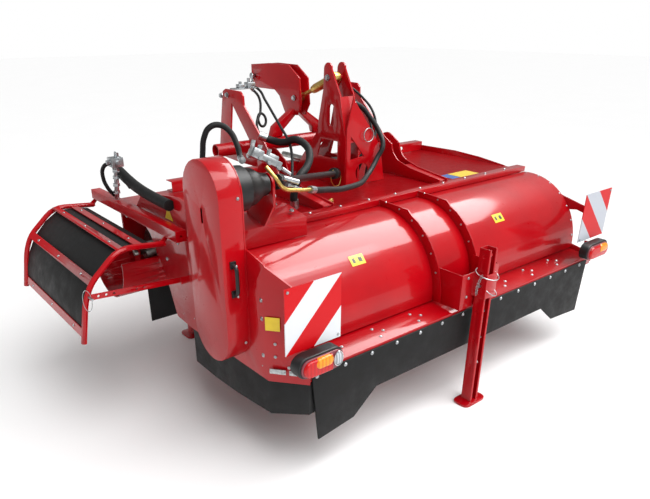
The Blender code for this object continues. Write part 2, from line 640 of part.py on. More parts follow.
def shaft_guard():
    """Black guard cone round the upper shaft."""
    shell = [(0.0, 0.040), (0.0, 0.096), (0.075, 0.092), (0.082, 0.082), (0.120, 0.076), (0.165, 0.050),
             (0.190, 0.046), (0.190, 0.028), (0.184, 0.028), (0.184, 0.041), (0.161, 0.045), (0.116, 0.071),
             (0.078, 0.077), (0.071, 0.087), (0.005, 0.091), (0.005, 0.040)]
    part("shaft_guard", turned(shell, (-1.184, ROTOR_Y, PULLEY_Z), (1, 0, 0), 24), PLASTIC)


def gearbox_and_shafts():
    """Slim bevel gearbox between the mast plates, its input shaft, and the guarded cross shaft."""
    low = DECK_Z + SHEET + GAP
    body = block((-0.0435, 0.965, low), (0.0435, 1.120, 1.112))
    for rise in (0.0, 0.10):
        body = union(body, block((-0.036, 0.985, low + 0.020 + rise), (0.036, 1.135, low + 0.035 + rise)))
    socket = rod((0.0, 1.085, 1.065), (0.0, 1.160, 1.065), 0.020, 14)
    part("gearbox", cut(body, socket), CAST)
    part("input_shaft", rod((0.0, 1.0865, 1.065), (0.0, 1.62, 1.065), 0.0175, 14), STEEL, (0.0, 1.1, 1.065))
    start, end = Vector((-0.938, ROTOR_Y + 0.006, PULLEY_Z - 0.002)), Vector((-0.072, 1.000, 1.052))
    along = (end - start).normalized()
    shaft = rod(start, end, 0.0180, 14)
    joints = [rod(start + along * 0.02, start + along * 0.075, 0.033, 14),
              rod(end - along * 0.075, end - along * 0.02, 0.033, 14)]
    part("cross_shaft", union(shaft, *joints), PLASTIC, start)


def rotor():
    """Flail rotor: tube with discs, and three rows of flails that hang from their rods."""
    half = 1.150
    tube, disc, pivot_r = 0.062, 0.135, 0.115
    pitch = 0.28
    stations = [-1.12 + pitch * i for i in range(9)]
    profile = [(-1.275, 0.0), (1.215, 0.0), (1.215, 0.020), (half, 0.020), (half, tube)]
    for x in reversed(stations):
        profile += [(x + 0.005, tube), (x + 0.005, disc), (x - 0.005, disc), (x - 0.005, tube)]
    profile += [(-half, tube), (-half, 0.020), (-1.275, 0.020)]
    shaft = turned(profile, (0.0, ROTOR_Y, ROTOR_Z), (1, 0, 0), 20)
    rows = {"flail_row_a": -90.0, "flail_row_b": 30.0, "flail_row_c": 150.0}
    spots = {}
    for name, angle in rows.items():
        turn = math.radians(angle)
        spots[name] = (ROTOR_Y + pivot_r * math.cos(turn), ROTOR_Z + pivot_r * math.sin(turn))
    drills = [rod((-1.14, y, z), (1.15, y, z), 0.0095, 12) for y, z in spots.values()]
    part("rotor", cut(shaft, *drills), STEEL, (0.0, ROTOR_Y, ROTOR_Z))
    for name, (y, z) in spots.items():
        bar = rod((-1.135, y, z), (1.135, y, z), 0.0075, 10)
        blades = []
        for left in stations[:-1]:
            for share in (0.27, 0.73):
                x = left + pitch * share
                blades.append(block((x - 0.030, y - 0.006, z - 0.117), (x + 0.030, y + 0.006, z + 0.012)))
        part(name, union(bar, *blades), STEEL, (0.0, y, z))


def auger():
    """Cross auger: tube with one right-hand flight, and its hydraulic motor."""
    centre = Vector((0.0, AUGER_Y, AUGER_Z))
    work = bmesh.new()
    inner, half_thickness = 0.035, 0.003
    corners = [(inner, -half_thickness), (AUGER_R, -half_thickness), (AUGER_R, half_thickness),
               (inner, half_thickness)]
    ring = [work.verts.new((r, 0, t)) for r, t in corners]
    for a, b in zip(ring, ring[1:] + ring[:1]):
        work.edges.new((a, b))
    mesh = bpy.data.meshes.new("flight")
    work.to_mesh(mesh)
    work.free()
    turn = Matrix.Translation(centre + Vector((-1.15, 0, 0))) @ Matrix.Rotation(math.pi / 2, 4, "Y")
    flight = add_object("flight", mesh, turn)
    mod = flight.modifiers.new("turn", "SCREW")
    mod.steps = 14
    mod.render_steps = 14
    mod.iterations = 8
    mod.screw_offset = 0.285
    flight = bake(flight)
    work = bmesh.new()
    work.from_mesh(flight.data)
    bmesh.ops.holes_fill(work, edges=[e for e in work.edges if e.is_boundary], sides=4)
    bmesh.ops.recalc_face_normals(work, faces=work.faces)
    work.to_mesh(flight.data)
    work.free()
    tube = turned([(-1.225, 0.0), (1.187, 0.0), (1.187, 0.020), (1.165, 0.020), (1.165, 0.045),
                   (-1.165, 0.045), (-1.165, 0.020), (-1.225, 0.020)], centre, (1, 0, 0), 16)
    part("auger", union(tube, flight), STEEL, centre)
    start = SIDE_X + SHEET / 2 + GAP
    motor = turned([(0.0, 0.0), (0.10, 0.0), (0.10, 0.040), (0.02, 0.044), (0.02, 0.055), (0.0, 0.055)],
                   (start, AUGER_Y, AUGER_Z), (1, 0, 0), 20)
    ports = block((start + 0.05, AUGER_Y - 0.022, AUGER_Z), (start + 0.095, AUGER_Y + 0.022, AUGER_Z + 0.065))
    part("auger_motor", union(motor, ports), CAST)


# ---------------------------------------------------------------- outlet deflector
def deflector():
    near, far = DEFLECTOR_Y
    beam = plate("Y", 0.70, 1.70, rectangle(-1.274, 0.960, -1.222, 1.010),
                 [rectangle(-1.270, 0.964, -1.226, 1.006)])
    caps = [block((-1.2745, y - 0.002, 0.9595), (-1.2215, y + 0.002, 1.0105)) for y in (0.7005, 1.6995)]
    lugs = []
    pins = []
    for y in (near + 0.0205, far + 0.0205):
        lugs.append(plate("Y", y - 0.003, y + 0.003, arc((FOLD_X, FOLD_Z), 0.018, 180, 360, 6)
                          + [(FOLD_X + 0.045, 0.962), (FOLD_X + 0.018, 0.962)]))
        pins.append(rod((FOLD_X, y - 0.036, FOLD_Z), (FOLD_X, y, FOLD_Z), 0.006, 10))
    feet = [block((-1.224, y - 0.03, 0.965), (-1.1903, y + 0.03, 0.971)) for y in (0.745, 1.36, 1.54)]
    drain = rod((-1.248, 0.60, 0.985), (-1.248, 1.80, 0.985), 0.005, 10)
    part("outlet_beam", cut(union(beam, *caps, *lugs, *pins, *feet), drain), RED)
    path = [(FOLD_X, FOLD_Z), (-1.504, 0.955), (-1.646, 0.829), (-1.683, 0.750), (-1.722, 0.560)]
    tubes = []
    for y in (near, far):
        route = rounded_bends([(x, y, z) for x, z in path], 0.06, 4)
        tubes.append(pipe(route, 0.0135))
    bars = []
    for (x, z), lean in (((-1.400, 0.946), 5), ((-1.492, 0.950), 8), ((-1.640, 0.832), -45),
                         ((-1.7135, 0.600), -78)):
        bar = block((-0.020, near, -0.0025), (0.020, far, 0.0025))
        bar.data.transform(Matrix.Translation((x, 0, z)) @ Matrix.Rotation(math.radians(lean), 4, "Y"))
        bars.append(bar)
    holes = [rod((FOLD_X, y - 0.02, FOLD_Z), (FOLD_X, y + 0.02, FOLD_Z), 0.0072, 10) for y in (near, far)]
    frame = cut(union(tubes[0], tubes[1], *bars), *holes)
    pivot = (FOLD_X, near, FOLD_Z)
    part("deflector_frame", frame, RED, pivot)
    hang = [(-1.328, 0.924), (-1.400, 0.9355), (-1.490, 0.9385), (-1.560, 0.893), (-1.6305, 0.822),
            (-1.672, 0.745), (-1.697, 0.665), (-1.7085, 0.575)]
    part("deflector_sheet", plate("Y", near + 0.016, far - 0.016, strip(hang, 0.005)), RUBBER, pivot)
    start, end = (-1.215, 0.746), (-1.668, 0.776)
    bar = [(start[0] + 0.016, start[1] - 0.013), (start[0] + 0.016, start[1] + 0.013), (end[0], end[1] + 0.013),
           (end[0], end[1] - 0.013)]
    rise = (end[1] - start[1]) / (end[0] - start[0])
    holes = [circle(start, 0.0082, 12)]
    for x in (-1.420, -1.455, -1.560, -1.595, -1.630):
        holes.append(circle((x, start[1] + rise * (x - start[0])), 0.006, 8))
    part("deflector_link", plate("Y", near - 0.0245, near - 0.0195, bar, holes), RED, (*start[:1], near, start[1]))


def outlet_post():
    """Upright post on the outlet beam with the valve block that the hoses end in."""
    post = pipe([(-1.248, 1.398, 1.0155), (-1.248, 1.372, 1.110), (-1.248, 1.350, 1.200)], 0.013)
    block_top = block((-1.278, 1.318, 1.190), (-1.218, 1.378, 1.235))
    lever = pipe([(-1.248, 1.348, 1.230), (-1.248, 1.335, 1.262), (-1.262, 1.300, 1.268)], 0.006)
    part("outlet_post", union(post, block_top, lever), ZINC)


# ---------------------------------------------------------------- boards, lamps and hoses
def boards_and_lamps():
    for side, name in ((-1, "warning_board_left"), (1, "warning_board_right")):
        low_x, low_z = (-1.219, 0.678) if side < 0 else (1.190 - BOARD, 0.688)
        y = -0.0310
        board = plate("Y", y - 0.004, y, rectangle(low_x, low_z, low_x + BOARD, low_z + BOARD))
        if side < 0:
            stays = [rod((-1.077, y - 0.002, z), (-1.077, -0.0105, z), 0.009, 10) for z in (0.74, 0.83)]
        else:
            stays = [block((1.170, y - 0.002, 0.765), (1.1825, 0.02, 0.790))]
        part(name, union(board, *stays), BOARD_WHITE)
    for side, name in ((-1, "rear_lamp_left"), (1, "rear_lamp_right")):
        x = -1.090 if side < 0 else 1.040
        outline = arc((x - 0.070, 0.6325), 0.048, 90, 270, 8) + arc((x + 0.070, 0.6325), 0.048, -90, 90, 8)
        lamp = plate("Y", -0.118, -0.040, outline)
        bevel = lamp.modifiers.new("soft", "BEVEL")
        bevel.width = 0.012
        bevel.segments = 2
        bevel.limit_method = "ANGLE"
        bevel.angle_limit = math.radians(50)
        lamp = bake(lamp)
        stay_x = -1.077 if side < 0 else 1.179
        stay = block((stay_x - 0.004, -0.045, 0.600), (stay_x + 0.004, -0.0105, 0.640))
        part(name, union(lamp, stay) if side < 0 else lamp_with_arm(lamp, stay_x), LAMP_RED)


def lamp_with_arm(lamp, x):
    arm = block((x - 0.080, -0.060, 0.598), (x + 0.003, -0.048, 0.622))
    tab = block((x - 0.001, -0.060, 0.565), (x + 0.004, 0.060, 0.622))
    return union(lamp, arm, tab)


def hoses():
    main = [(-1.012, 0.355, 1.318), (-0.990, 0.322, 1.275), (-0.958, 0.316, 1.232), (-0.875, 0.332, 1.206),
            (-0.778, 0.360, 1.188), (-0.690, 0.400, 1.164), (-0.604, 0.450, 1.143), (-0.490, 0.500, 1.117),
            (-0.372, 0.560, 1.098), (-0.240, 0.640, 1.076), (-0.107, 0.740, 1.054), (0.010, 0.830, 1.052),
            (0.096, 0.880, 1.075), (0.163, 0.905, 1.125), (0.206, 0.906, 1.190), (0.226, 0.962, 1.262),
            (0.198, 1.020, 1.345), (0.148, 1.050, 1.405), (0.080, 1.075, 1.430)]
    part("main_hose", pipe(smooth_route(main, 3), 0.0145), RUBBER)
    loop = [(-0.575, 0.745, 0.992), (-0.582, 0.740, 1.060), (-0.545, 0.745, 1.138), (-0.470, 0.775, 1.178),
            (-0.415, 0.820, 1.222), (-0.392, 0.880, 1.262), (-0.408, 0.950, 1.285), (-0.420, 1.030, 1.262),
            (-0.442, 1.110, 1.262), (-0.500, 1.150, 1.290)]
    part("loop_hose", pipe(smooth_route(loop, 3), 0.0195), RUBBER)
    bridge = [(-1.160, 0.610, 1.090), (-1.170, 0.598, 1.180), (-1.172, 0.592, 1.280), (-1.166, 0.588, 1.360),
              (-1.158, 0.580, 1.420), (-1.136, 0.568, 1.458), (-1.100, 0.550, 1.466), (-1.066, 0.528, 1.440),
              (-1.053, 0.500, 1.388), (-1.057, 0.470, 1.340), (-1.070, 0.440, 1.338)]
    part("bridge_hose", pipe(smooth_route(bridge, 3), 0.0120), RUBBER)
    sleeve = [(-1.225, 0.790, 1.083), (-1.225, 0.920, 1.094), (-1.224, 1.050, 1.103), (-1.220, 1.150, 1.111),
              (-1.214, 1.250, 1.130)]
    part("hose_sleeve", pipe(smooth_route(sleeve, 3), 0.027, 3), RUBBER)


def centre_on_origin():
    """Move every piece so that the origin is on the ground under the middle of the outer box."""
    for obj in PARTS.objects:
        obj.location.x += CENTRE_X
        obj.location.y += CENTRE_Y


def main():
    start_scene()
    housing()
    rubber_skirts()
    stands()
    mast()
    brace(-1, "brace_left")
    brace(1, "brace_right")
    headstock()
    turnbuckle()
    belt_drive()
    belt_cover()
    shaft_guard()
    gearbox_and_shafts()
    rotor()
    auger()
    deflector()
    outlet_post()
    boards_and_lamps()
    hoses()
    centre_on_origin()


main()
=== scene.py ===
import json
import math

import bmesh
import bpy
from mathutils import Euler, Matrix, Vector


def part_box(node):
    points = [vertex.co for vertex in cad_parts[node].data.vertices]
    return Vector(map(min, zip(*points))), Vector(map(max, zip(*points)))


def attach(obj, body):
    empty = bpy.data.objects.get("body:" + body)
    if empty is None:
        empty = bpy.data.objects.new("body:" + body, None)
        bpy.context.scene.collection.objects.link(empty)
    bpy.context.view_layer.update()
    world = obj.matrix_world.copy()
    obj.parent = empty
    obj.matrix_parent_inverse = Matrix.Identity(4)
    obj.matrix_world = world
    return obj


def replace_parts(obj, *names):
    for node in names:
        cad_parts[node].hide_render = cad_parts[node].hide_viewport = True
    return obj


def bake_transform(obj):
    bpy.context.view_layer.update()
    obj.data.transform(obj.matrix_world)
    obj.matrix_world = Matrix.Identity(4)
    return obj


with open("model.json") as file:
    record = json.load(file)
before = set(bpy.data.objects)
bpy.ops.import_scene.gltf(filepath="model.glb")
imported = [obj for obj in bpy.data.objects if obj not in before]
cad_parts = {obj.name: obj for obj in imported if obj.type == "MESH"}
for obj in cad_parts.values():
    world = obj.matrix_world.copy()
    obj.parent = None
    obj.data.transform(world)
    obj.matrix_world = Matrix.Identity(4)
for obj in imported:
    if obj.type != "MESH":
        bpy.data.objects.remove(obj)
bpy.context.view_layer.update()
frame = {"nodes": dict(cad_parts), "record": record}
cadNodes = frame["nodes"]
print("frame loaded,", len(cadNodes), "nodes")

# everything is placed from the middle of the machine and the bolt line of the rear flap
hoodLow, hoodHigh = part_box("hood_panel_centre")
middleX = (hoodLow.x + hoodHigh.x) / 2
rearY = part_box("rear_shelf")[0].y


def place(x, y, z):
    return Vector((middleX + x, rearY + y, z))


def linear(hexColour):
    channels = [int(hexColour[i:i + 2], 16) / 255 for i in (1, 3, 5)]
    out = [c / 12.92 if c <= 0.04045 else ((c + 0.055) / 1.055) ** 2.4 for c in channels]
    return (*out, 1.0)


def addNode(tree, kind, settings=None, **links):
    node = tree.nodes.new(kind)
    for key, value in (settings or {}).items():
        if key in node.inputs and not hasattr(node, key):
            node.inputs[key].default_value = value
        else:
            setattr(node, key, value)
    for name, source in links.items():
        tree.links.new(source, node.inputs[name.replace("_", " ")])
    return node


def startMaterial(name, roughness, metallic=0.0, ior=1.5, coat=0.0, coatRoughness=0.1):
    material = bpy.data.materials.new(name)
    material.use_nodes = True
    tree = material.node_tree
    shader = tree.nodes["Principled BSDF"]
    shader.inputs["Roughness"].default_value = roughness
    shader.inputs["Metallic"].default_value = metallic
    shader.inputs["IOR"].default_value = ior
    shader.inputs["Coat Weight"].default_value = coat
    shader.inputs["Coat Roughness"].default_value = coatRoughness
    where = addNode(tree, "ShaderNodeTexCoord").outputs["Object"]
    return material, tree, shader, where


def noise(tree, where, sizeMm, detail=3.0, roughness=0.55):
    # size of one blotch in millimetres
    return addNode(tree, "ShaderNodeTexNoise",
                   {"Scale": 1000 / sizeMm, "Detail": detail, "Roughness": roughness}, Vector=where)


def spread(tree, value, low, high, fromLow=0.3, fromHigh=0.7):
    ranged = addNode(tree, "ShaderNodeMapRange", {"From Min": fromLow, "From Max": fromHigh,
                                                  "To Min": low, "To Max": high})
    tree.links.new(value, ranged.inputs["Value"])
    return ranged.outputs["Result"]


def twoTones(tree, factor, first, second):
    mix = addNode(tree, "ShaderNodeMix", {"data_type": "RGBA"})
    mix.inputs[6].default_value = linear(first)
    mix.inputs[7].default_value = linear(second)
    tree.links.new(factor, mix.inputs[0])
    return mix.outputs[2]


def bump(tree, shader, height, depthMm, strength=1.0):
    node = addNode(tree, "ShaderNodeBump", {"Distance": depthMm / 1000, "Strength": strength})
    tree.links.new(height, node.inputs["Height"])
    tree.links.new(node.outputs["Normal"], shader.inputs["Normal"])
    return node


# finishes

def powderPaint():
    # gloss powder coat on sheet steel: faint orange peel, soft clouds of tone, a little grime in places
    settings = {"base": "#b4020f", "deep": "#a3020e", "grime": "#6c060c", "cloudMm": 260, "dirtMm": 38,
                "dirtShare": 0.35, "dirtFrom": 0.62, "dirtTo": 0.78, "polished": 0.26, "dull": 0.42,
                "peelMm": 7, "peelDepthMm": 0.12}
    material, tree, shader, where = startMaterial("red powder coat", 0.34, coat=0.6, coatRoughness=0.09)
    shader.inputs["Specular IOR Level"].default_value = 0.1
    clouds = noise(tree, where, settings["cloudMm"])
    colour = twoTones(tree, spread(tree, clouds.outputs["Fac"], 0, 1), settings["base"], settings["deep"])
    dirt = noise(tree, where, settings["dirtMm"], 6, 0.7)
    dirtMask = spread(tree, dirt.outputs["Fac"], 0, settings["dirtShare"], settings["dirtFrom"],
                      settings["dirtTo"])
    mix = addNode(tree, "ShaderNodeMix", {"data_type": "RGBA"})
    tree.links.new(dirtMask, mix.inputs[0])
    tree.links.new(colour, mix.inputs[6])
    mix.inputs[7].default_value = linear(settings["grime"])
    tree.links.new(mix.outputs[2], shader.inputs["Base Color"])
    tree.links.new(spread(tree, dirt.outputs["Fac"], settings["polished"], settings["dull"]),
                   shader.inputs["Roughness"])
    peel = noise(tree, where, settings["peelMm"], 1)
    bump(tree, shader, peel.outputs["Fac"], settings["peelDepthMm"], 0.5)
    return material


def sheetRubber(name="black sheet rubber", base="#0e0e0f", dusty="#1a1918", grainMm=4):
    # calendered rubber: matt, a bloom of dust and a fine cloth-like grain
    settings = {"dustMm": 90, "dustFrom": 0.45, "dustTo": 0.75, "rubbed": 0.5, "matt": 0.78,
                "grainDepthMm": 0.35}
    material, tree, shader, where = startMaterial(name, 0.7, ior=1.52)
    shader.inputs["Specular IOR Level"].default_value = 0.3
    dust = noise(tree, where, settings["dustMm"], 5, 0.65)
    dustMask = spread(tree, dust.outputs["Fac"], 0, 1, settings["dustFrom"], settings["dustTo"])
    tree.links.new(twoTones(tree, dustMask, base, dusty), shader.inputs["Base Color"])
    tree.links.new(spread(tree, dust.outputs["Fac"], settings["rubbed"], settings["matt"]),
                   shader.inputs["Roughness"])
    grain = noise(tree, where, grainMm, 2)
    bump(tree, shader, grain.outputs["Fac"], settings["grainDepthMm"], 0.6)
    return material


def mouldedPlastic():
    # moulded black plastic: even, slightly glossy, with a fine spark-eroded grain
    settings = {"deep": "#0c0c0d", "worn": "#151516", "toneMm": 60, "grainMm": 2.5, "grainDepthMm": 0.1}
    material, tree, shader, where = startMaterial("moulded black plastic", 0.42, ior=1.46)
    tone = noise(tree, where, settings["toneMm"])
    tree.links.new(twoTones(tree, tone.outputs["Fac"], settings["deep"], settings["worn"]),
                   shader.inputs["Base Color"])
    tree.links.new(spread(tree, tone.outputs["Fac"], 0.34, 0.5), shader.inputs["Roughness"])
    grain = noise(tree, where, settings["grainMm"], 1)
    bump(tree, shader, grain.outputs["Fac"], settings["grainDepthMm"], 0.5)
    return material


def platedMetal(name, bright, dull, roughness=0.3, spanMm=22, depthMm=0.05):
    # plated or bare metal: tone and roughness wander as the plating does
    material, tree, shader, where = startMaterial(name, roughness, metallic=1.0)
    mottle = noise(tree, where, spanMm, 5, 0.6)
    tree.links.new(twoTones(tree, spread(tree, mottle.outputs["Fac"], 0, 1), bright, dull),
                   shader.inputs["Base Color"])
    tree.links.new(spread(tree, mottle.outputs["Fac"], roughness - 0.08, roughness + 0.14),
                   shader.inputs["Roughness"])
    scratchMm = 3
    bump(tree, shader, noise(tree, where, scratchMm, 2).outputs["Fac"], depthMm, 0.5)
    return material


def castPaint():
    # grey primer on sand-cast iron: grainy skin, dull
    settings = {"primer": "#3a3b3d", "chalky": "#4b4c4e", "patchMm": 30, "sandMm": 3.5, "sandDepthMm": 0.5}
    material, tree, shader, where = startMaterial("painted cast iron", 0.55)
    patches = noise(tree, where, settings["patchMm"], 4)
    tree.links.new(twoTones(tree, patches.outputs["Fac"], settings["primer"], settings["chalky"]),
                   shader.inputs["Base Color"])
    tree.links.new(spread(tree, patches.outputs["Fac"], 0.48, 0.66), shader.inputs["Roughness"])
    sand = noise(tree, where, settings["sandMm"], 4)
    bump(tree, shader, sand.outputs["Fac"], settings["sandDepthMm"], 0.7)
    return material


def stripedFilm(name, cornerX, cornerZ, size, mirrored, white):
    # retro-reflective film: white and red stripes at 45 degrees with the film's fine honeycomb
    settings = {"red": "#c8010d", "redShare": 0.5, "cellMm": 5, "cellDepthMm": 0.08}
    material, tree, shader, where = startMaterial(name, 0.4, coat=0.1)
    shader.inputs["Specular IOR Level"].default_value = 0.2
    axes = addNode(tree, "ShaderNodeSeparateXYZ", Vector=where)
    across = addNode(tree, "ShaderNodeMath", {"operation": "SUBTRACT"})
    tree.links.new(axes.outputs["X"], across.inputs[0])
    across.inputs[1].default_value = cornerX
    if mirrored:
        turned = addNode(tree, "ShaderNodeMath", {"operation": "SUBTRACT"})
        turned.inputs[0].default_value = size
        tree.links.new(across.outputs[0], turned.inputs[1])
        across = turned
    up = addNode(tree, "ShaderNodeMath", {"operation": "SUBTRACT"})
    tree.links.new(axes.outputs["Z"], up.inputs[0])
    up.inputs[1].default_value = cornerZ
    lean = addNode(tree, "ShaderNodeMath", {"operation": "SUBTRACT"})
    tree.links.new(up.outputs[0], lean.inputs[0])
    tree.links.new(across.outputs[0], lean.inputs[1])
    share = addNode(tree, "ShaderNodeMath", {"operation": "MULTIPLY_ADD"})
    tree.links.new(lean.outputs[0], share.inputs[0])
    share.inputs[1].default_value = 1 / size                 # one red and one white stripe per side
    share.inputs[2].default_value = 4.0
    part = addNode(tree, "ShaderNodeMath", {"operation": "FRACT"})
    tree.links.new(share.outputs[0], part.inputs[0])
    isRed = addNode(tree, "ShaderNodeMath", {"operation": "GREATER_THAN"})
    tree.links.new(part.outputs[0], isRed.inputs[0])
    isRed.inputs[1].default_value = settings["redShare"]
    tree.links.new(twoTones(tree, isRed.outputs[0], white, settings["red"]), shader.inputs["Base Color"])
    cells = addNode(tree, "ShaderNodeTexVoronoi", {"Scale": 1000 / settings["cellMm"]}, Vector=where)
    bump(tree, shader, cells.outputs["Distance"], settings["cellDepthMm"], 0.4)
    return material


def lampLens(name, light, dark, ribMm):
    # clear moulded acrylic over a reflector: bright, hard gloss, fine prism ribs inside
    material, tree, shader, where = startMaterial(name, 0.12, ior=1.49, coat=0.35, coatRoughness=0.04)
    shader.inputs["Specular IOR Level"].default_value = 0.3
    bandsPerUnit = 6.3                                        # a wave texture's bands in one unit at scale 1
    ribs = addNode(tree, "ShaderNodeTexWave", {"Scale": 1000 / ribMm / bandsPerUnit, "Distortion": 0.0,
                                               "bands_direction": "X"}, Vector=where)
    tree.links.new(twoTones(tree, ribs.outputs["Fac"], light, dark), shader.inputs["Base Color"])
    tree.links.new(spread(tree, ribs.outputs["Fac"], 0.08, 0.2, 0, 1), shader.inputs["Roughness"])
    bump(tree, shader, ribs.outputs["Fac"], 0.3, 0.12)
    return material


def printedFilm(name, base, faded):
    # printed vinyl label: flat colour, slightly faded, thin gloss
    material, tree, shader, where = startMaterial(name, 0.38, coat=0.2)
    fadeMm = 25
    fade = noise(tree, where, fadeMm, 4)
    tree.links.new(twoTones(tree, fade.outputs["Fac"], base, faded), shader.inputs["Base Color"])
    tree.links.new(spread(tree, fade.outputs["Fac"], 0.3, 0.5), shader.inputs["Roughness"])
    return material


def paleFloor():
    # matt white studio floor
    material, tree, shader, where = startMaterial("matt white floor", 0.75)
    cloudMm = 900
    soft = noise(tree, where, cloudMm, 2)
    tree.links.new(twoTones(tree, soft.outputs["Fac"], "#fcfcfc", "#f9f9f9"), shader.inputs["Base Color"])
    return material


redPaint = powderPaint()
flapRubber = sheetRubber()
hoseRubber = sheetRubber("black hose rubber", "#0d0d0e", "#171717", 3)
blackPlastic = mouldedPlastic()
zincPlate = platedMetal("bright zinc plate", "#c2c5c7", "#8f9396")
bareSteel = platedMetal("worn bare steel", "#b4b2ae", "#7d7a76", 0.36, 35, 0.1)
yellowZinc = platedMetal("yellow passivated zinc", "#d8c078", "#b08d3e", 0.34, 14)
brightChrome = platedMetal("polished chrome", "#e6e8ea", "#cfd2d5", 0.12, 60, 0.01)
clampSteel = platedMetal("galvanised clamp strip", "#c9cccd", "#979b9c", 0.42, 18, 0.08)
castIron = castPaint()
redLens = lampLens("red lamp lens", "#c8040a", "#b00307", 9)
amberLens = lampLens("amber lamp lens", "#f59a14", "#d97a08", 9)
clearLens = lampLens("clear lamp lens", "#c9cdd1", "#8e949b", 6)
yellowFilm = printedFilm("yellow label", "#f2d21c", "#e0bd14")
blueFilm = printedFilm("blue label", "#2f62b4", "#2a559c")
darkFilm = printedFilm("dark label print", "#1d1d1d", "#2a2a2a")
lampRim = printedFilm("pink faded lamp rim", "#8c3a45", "#6f2d37")
print("materials made")

finishOfSlot = {"red_paint": redPaint, "black_rubber": flapRubber, "black_plastic": blackPlastic,
                "zinc_plate": zincPlate, "bare_steel": bareSteel, "grey_casting": castIron,
                "yellow_zinc": yellowZinc}
slotOfNode = {entry["node"]: entry["material_slot"] for entry in frame["record"]["subparts"]}
bodyOfNode = {node: body for body, members in frame["record"]["behaviour"]["bodies"].items()
              for node in members}


def finishPiece(bm, name, material, body, smoothAngle=35, weld=True):
    if weld:
        bmesh.ops.remove_doubles(bm, verts=bm.verts, dist=0.00001)
        bmesh.ops.recalc_face_normals(bm, faces=bm.faces)
    mesh = bpy.data.meshes.new(name)
    bm.to_mesh(mesh)
    bm.free()
    mesh.shade_smooth()
    mesh.set_sharp_from_angle(angle=math.radians(smoothAngle))
    piece = bpy.data.objects.new(name, mesh)
    bpy.context.scene.collection.objects.link(piece)
    mesh.materials.append(material)
    if body:
        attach(piece, body)
    return piece


softening = {"weld": 0.00002, "flatDegrees": 0.6, "sharpDegrees": 40, "smoothDegrees": 32}


def softenedCopy(node, edgeMm):
    # a welded copy of a carried-over solid, with its hard edges rounded as a folded or cut plate's are
    bm = bmesh.new()
    bm.from_mesh(cadNodes[node].data)
    bmesh.ops.remove_doubles(bm, verts=bm.verts, dist=softening["weld"])
    bmesh.ops.dissolve_limit(bm, angle_limit=math.radians(softening["flatDegrees"]), verts=bm.verts,
                             edges=bm.edges)
    if edgeMm:
        limit = math.radians(softening["sharpDegrees"])
        sharp = [e for e in bm.edges if len(e.link_faces) == 2 and e.calc_face_angle(0) > limit]
        bmesh.ops.bevel(bm, geom=sharp, offset=edgeMm / 1000, segments=2, profile=0.5, affect="EDGES",
                        material=-1, clamp_overlap=True)
    bmesh.ops.triangulate(bm, faces=[f for f in bm.faces if len(f.verts) > 4])
    piece = finishPiece(bm, node + "_skin", finishOfSlot[slotOfNode[node]], bodyOfNode[node],
                        softening["smoothDegrees"], weld=False)
    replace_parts(piece, node)


# carried-over solids
boardSize = 0.282
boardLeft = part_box("warning_board_left")[0]
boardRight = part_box("warning_board_right")
leftFilm = stripedFilm("striped film left", boardLeft.x, boardLeft.z, boardSize, False, "#dcdee2")
# the right board's film has a darker, bluer white than the left board's: this is painted shade on the same film
rightFilm = stripedFilm("striped film right", boardRight[0].x, boardRight[1].z - boardSize, boardSize, True,
                        "#b9bdc6")
edgeRoundingMm = {
    "hood_panel_left": 0, "hood_panel_centre": 0, "hood_panel_right": 0, "auger_trough": 0,
    "belt_cover": 1.5, "headstock_frame": 1.5, "gooseneck": 1.5, "mast": 1.5, "brace_left": 1.2,
    "brace_right": 1.2, "rib_left": 1.0, "rib_right": 1.0, "side_plate_left": 1.0,
    "side_plate_right": 1.0, "drive_pedestal": 1.0, "stand_bracket": 1.0, "rear_stand": 1.0,
    "front_stand_left": 1.2, "front_stand_right": 1.2, "outlet_beam": 1.5, "deck_plate": 0.8,
    "front_beam": 1.0, "front_plate": 1.0, "rear_shelf": 0.8, "belt_backplate": 1.0,
    "deflector_link": 1.0, "shaft_guard": 0, "upper_pulley": 1.0, "lower_pulley": 1.0, "rotor": 0,
    "auger": 0, "auger_motor": 1.0, "gearbox": 3.0, "input_shaft": 1.0, "cross_shaft": 1.0,
    "lower_link_pin_left": 1.5, "lower_link_pin_right": 1.5, "top_link_pin": 1.5,
    "turnbuckle_barrel": 0.5, "turnbuckle_screw": 0.5, "outlet_post": 1.0, "cover_handle": 0.8,
    "rear_flap": 1.0, "front_flap": 1.0, "side_skirt_left": 1.0, "side_skirt_right": 1.0,
    "drive_belt": 1.0, "deflector_sheet": 1.0, "flail_row_a": 0.8, "flail_row_b": 0.8,
    "flail_row_c": 0.8, "deflector_frame": 0,
}
for node, edge in edgeRoundingMm.items():
    softenedCopy(node, edge)
cadNodes["warning_board_left"].material_slots[0].material = leftFilm
cadNodes["warning_board_right"].material_slots[0].material = rightFilm
print("carried-over solids finished")


# small shared makers
def shaped(bm, name, material, body="housing", smoothAngle=35, weld=False):
    bmesh.ops.recalc_face_normals(bm, faces=bm.faces)
    return finishPiece(bm, name, material, body, smoothAngle, weld)


def facing(at, direction):
    turn = Vector(direction).to_track_quat("Z", "Y").to_matrix().to_4x4()
    return Matrix.Translation(place(*at)) @ turn


def domeBolt(bm, at, direction, headMm=15, washerMm=21):
    # a low domed head on a thin washer
    spot = facing(at, direction)
    bmesh.ops.create_cone(bm, cap_ends=True, segments=14, radius1=washerMm / 2000, radius2=washerMm / 2150,
                          depth=0.0026, matrix=spot @ Matrix.Translation((0, 0, 0.0008)))
    dome = Matrix.Translation((0, 0, 0.0015)) @ Matrix.Diagonal((1, 1, 0.7, 1))
    bmesh.ops.create_uvsphere(bm, u_segments=10, v_segments=6, radius=headMm / 2000, matrix=spot @ dome)


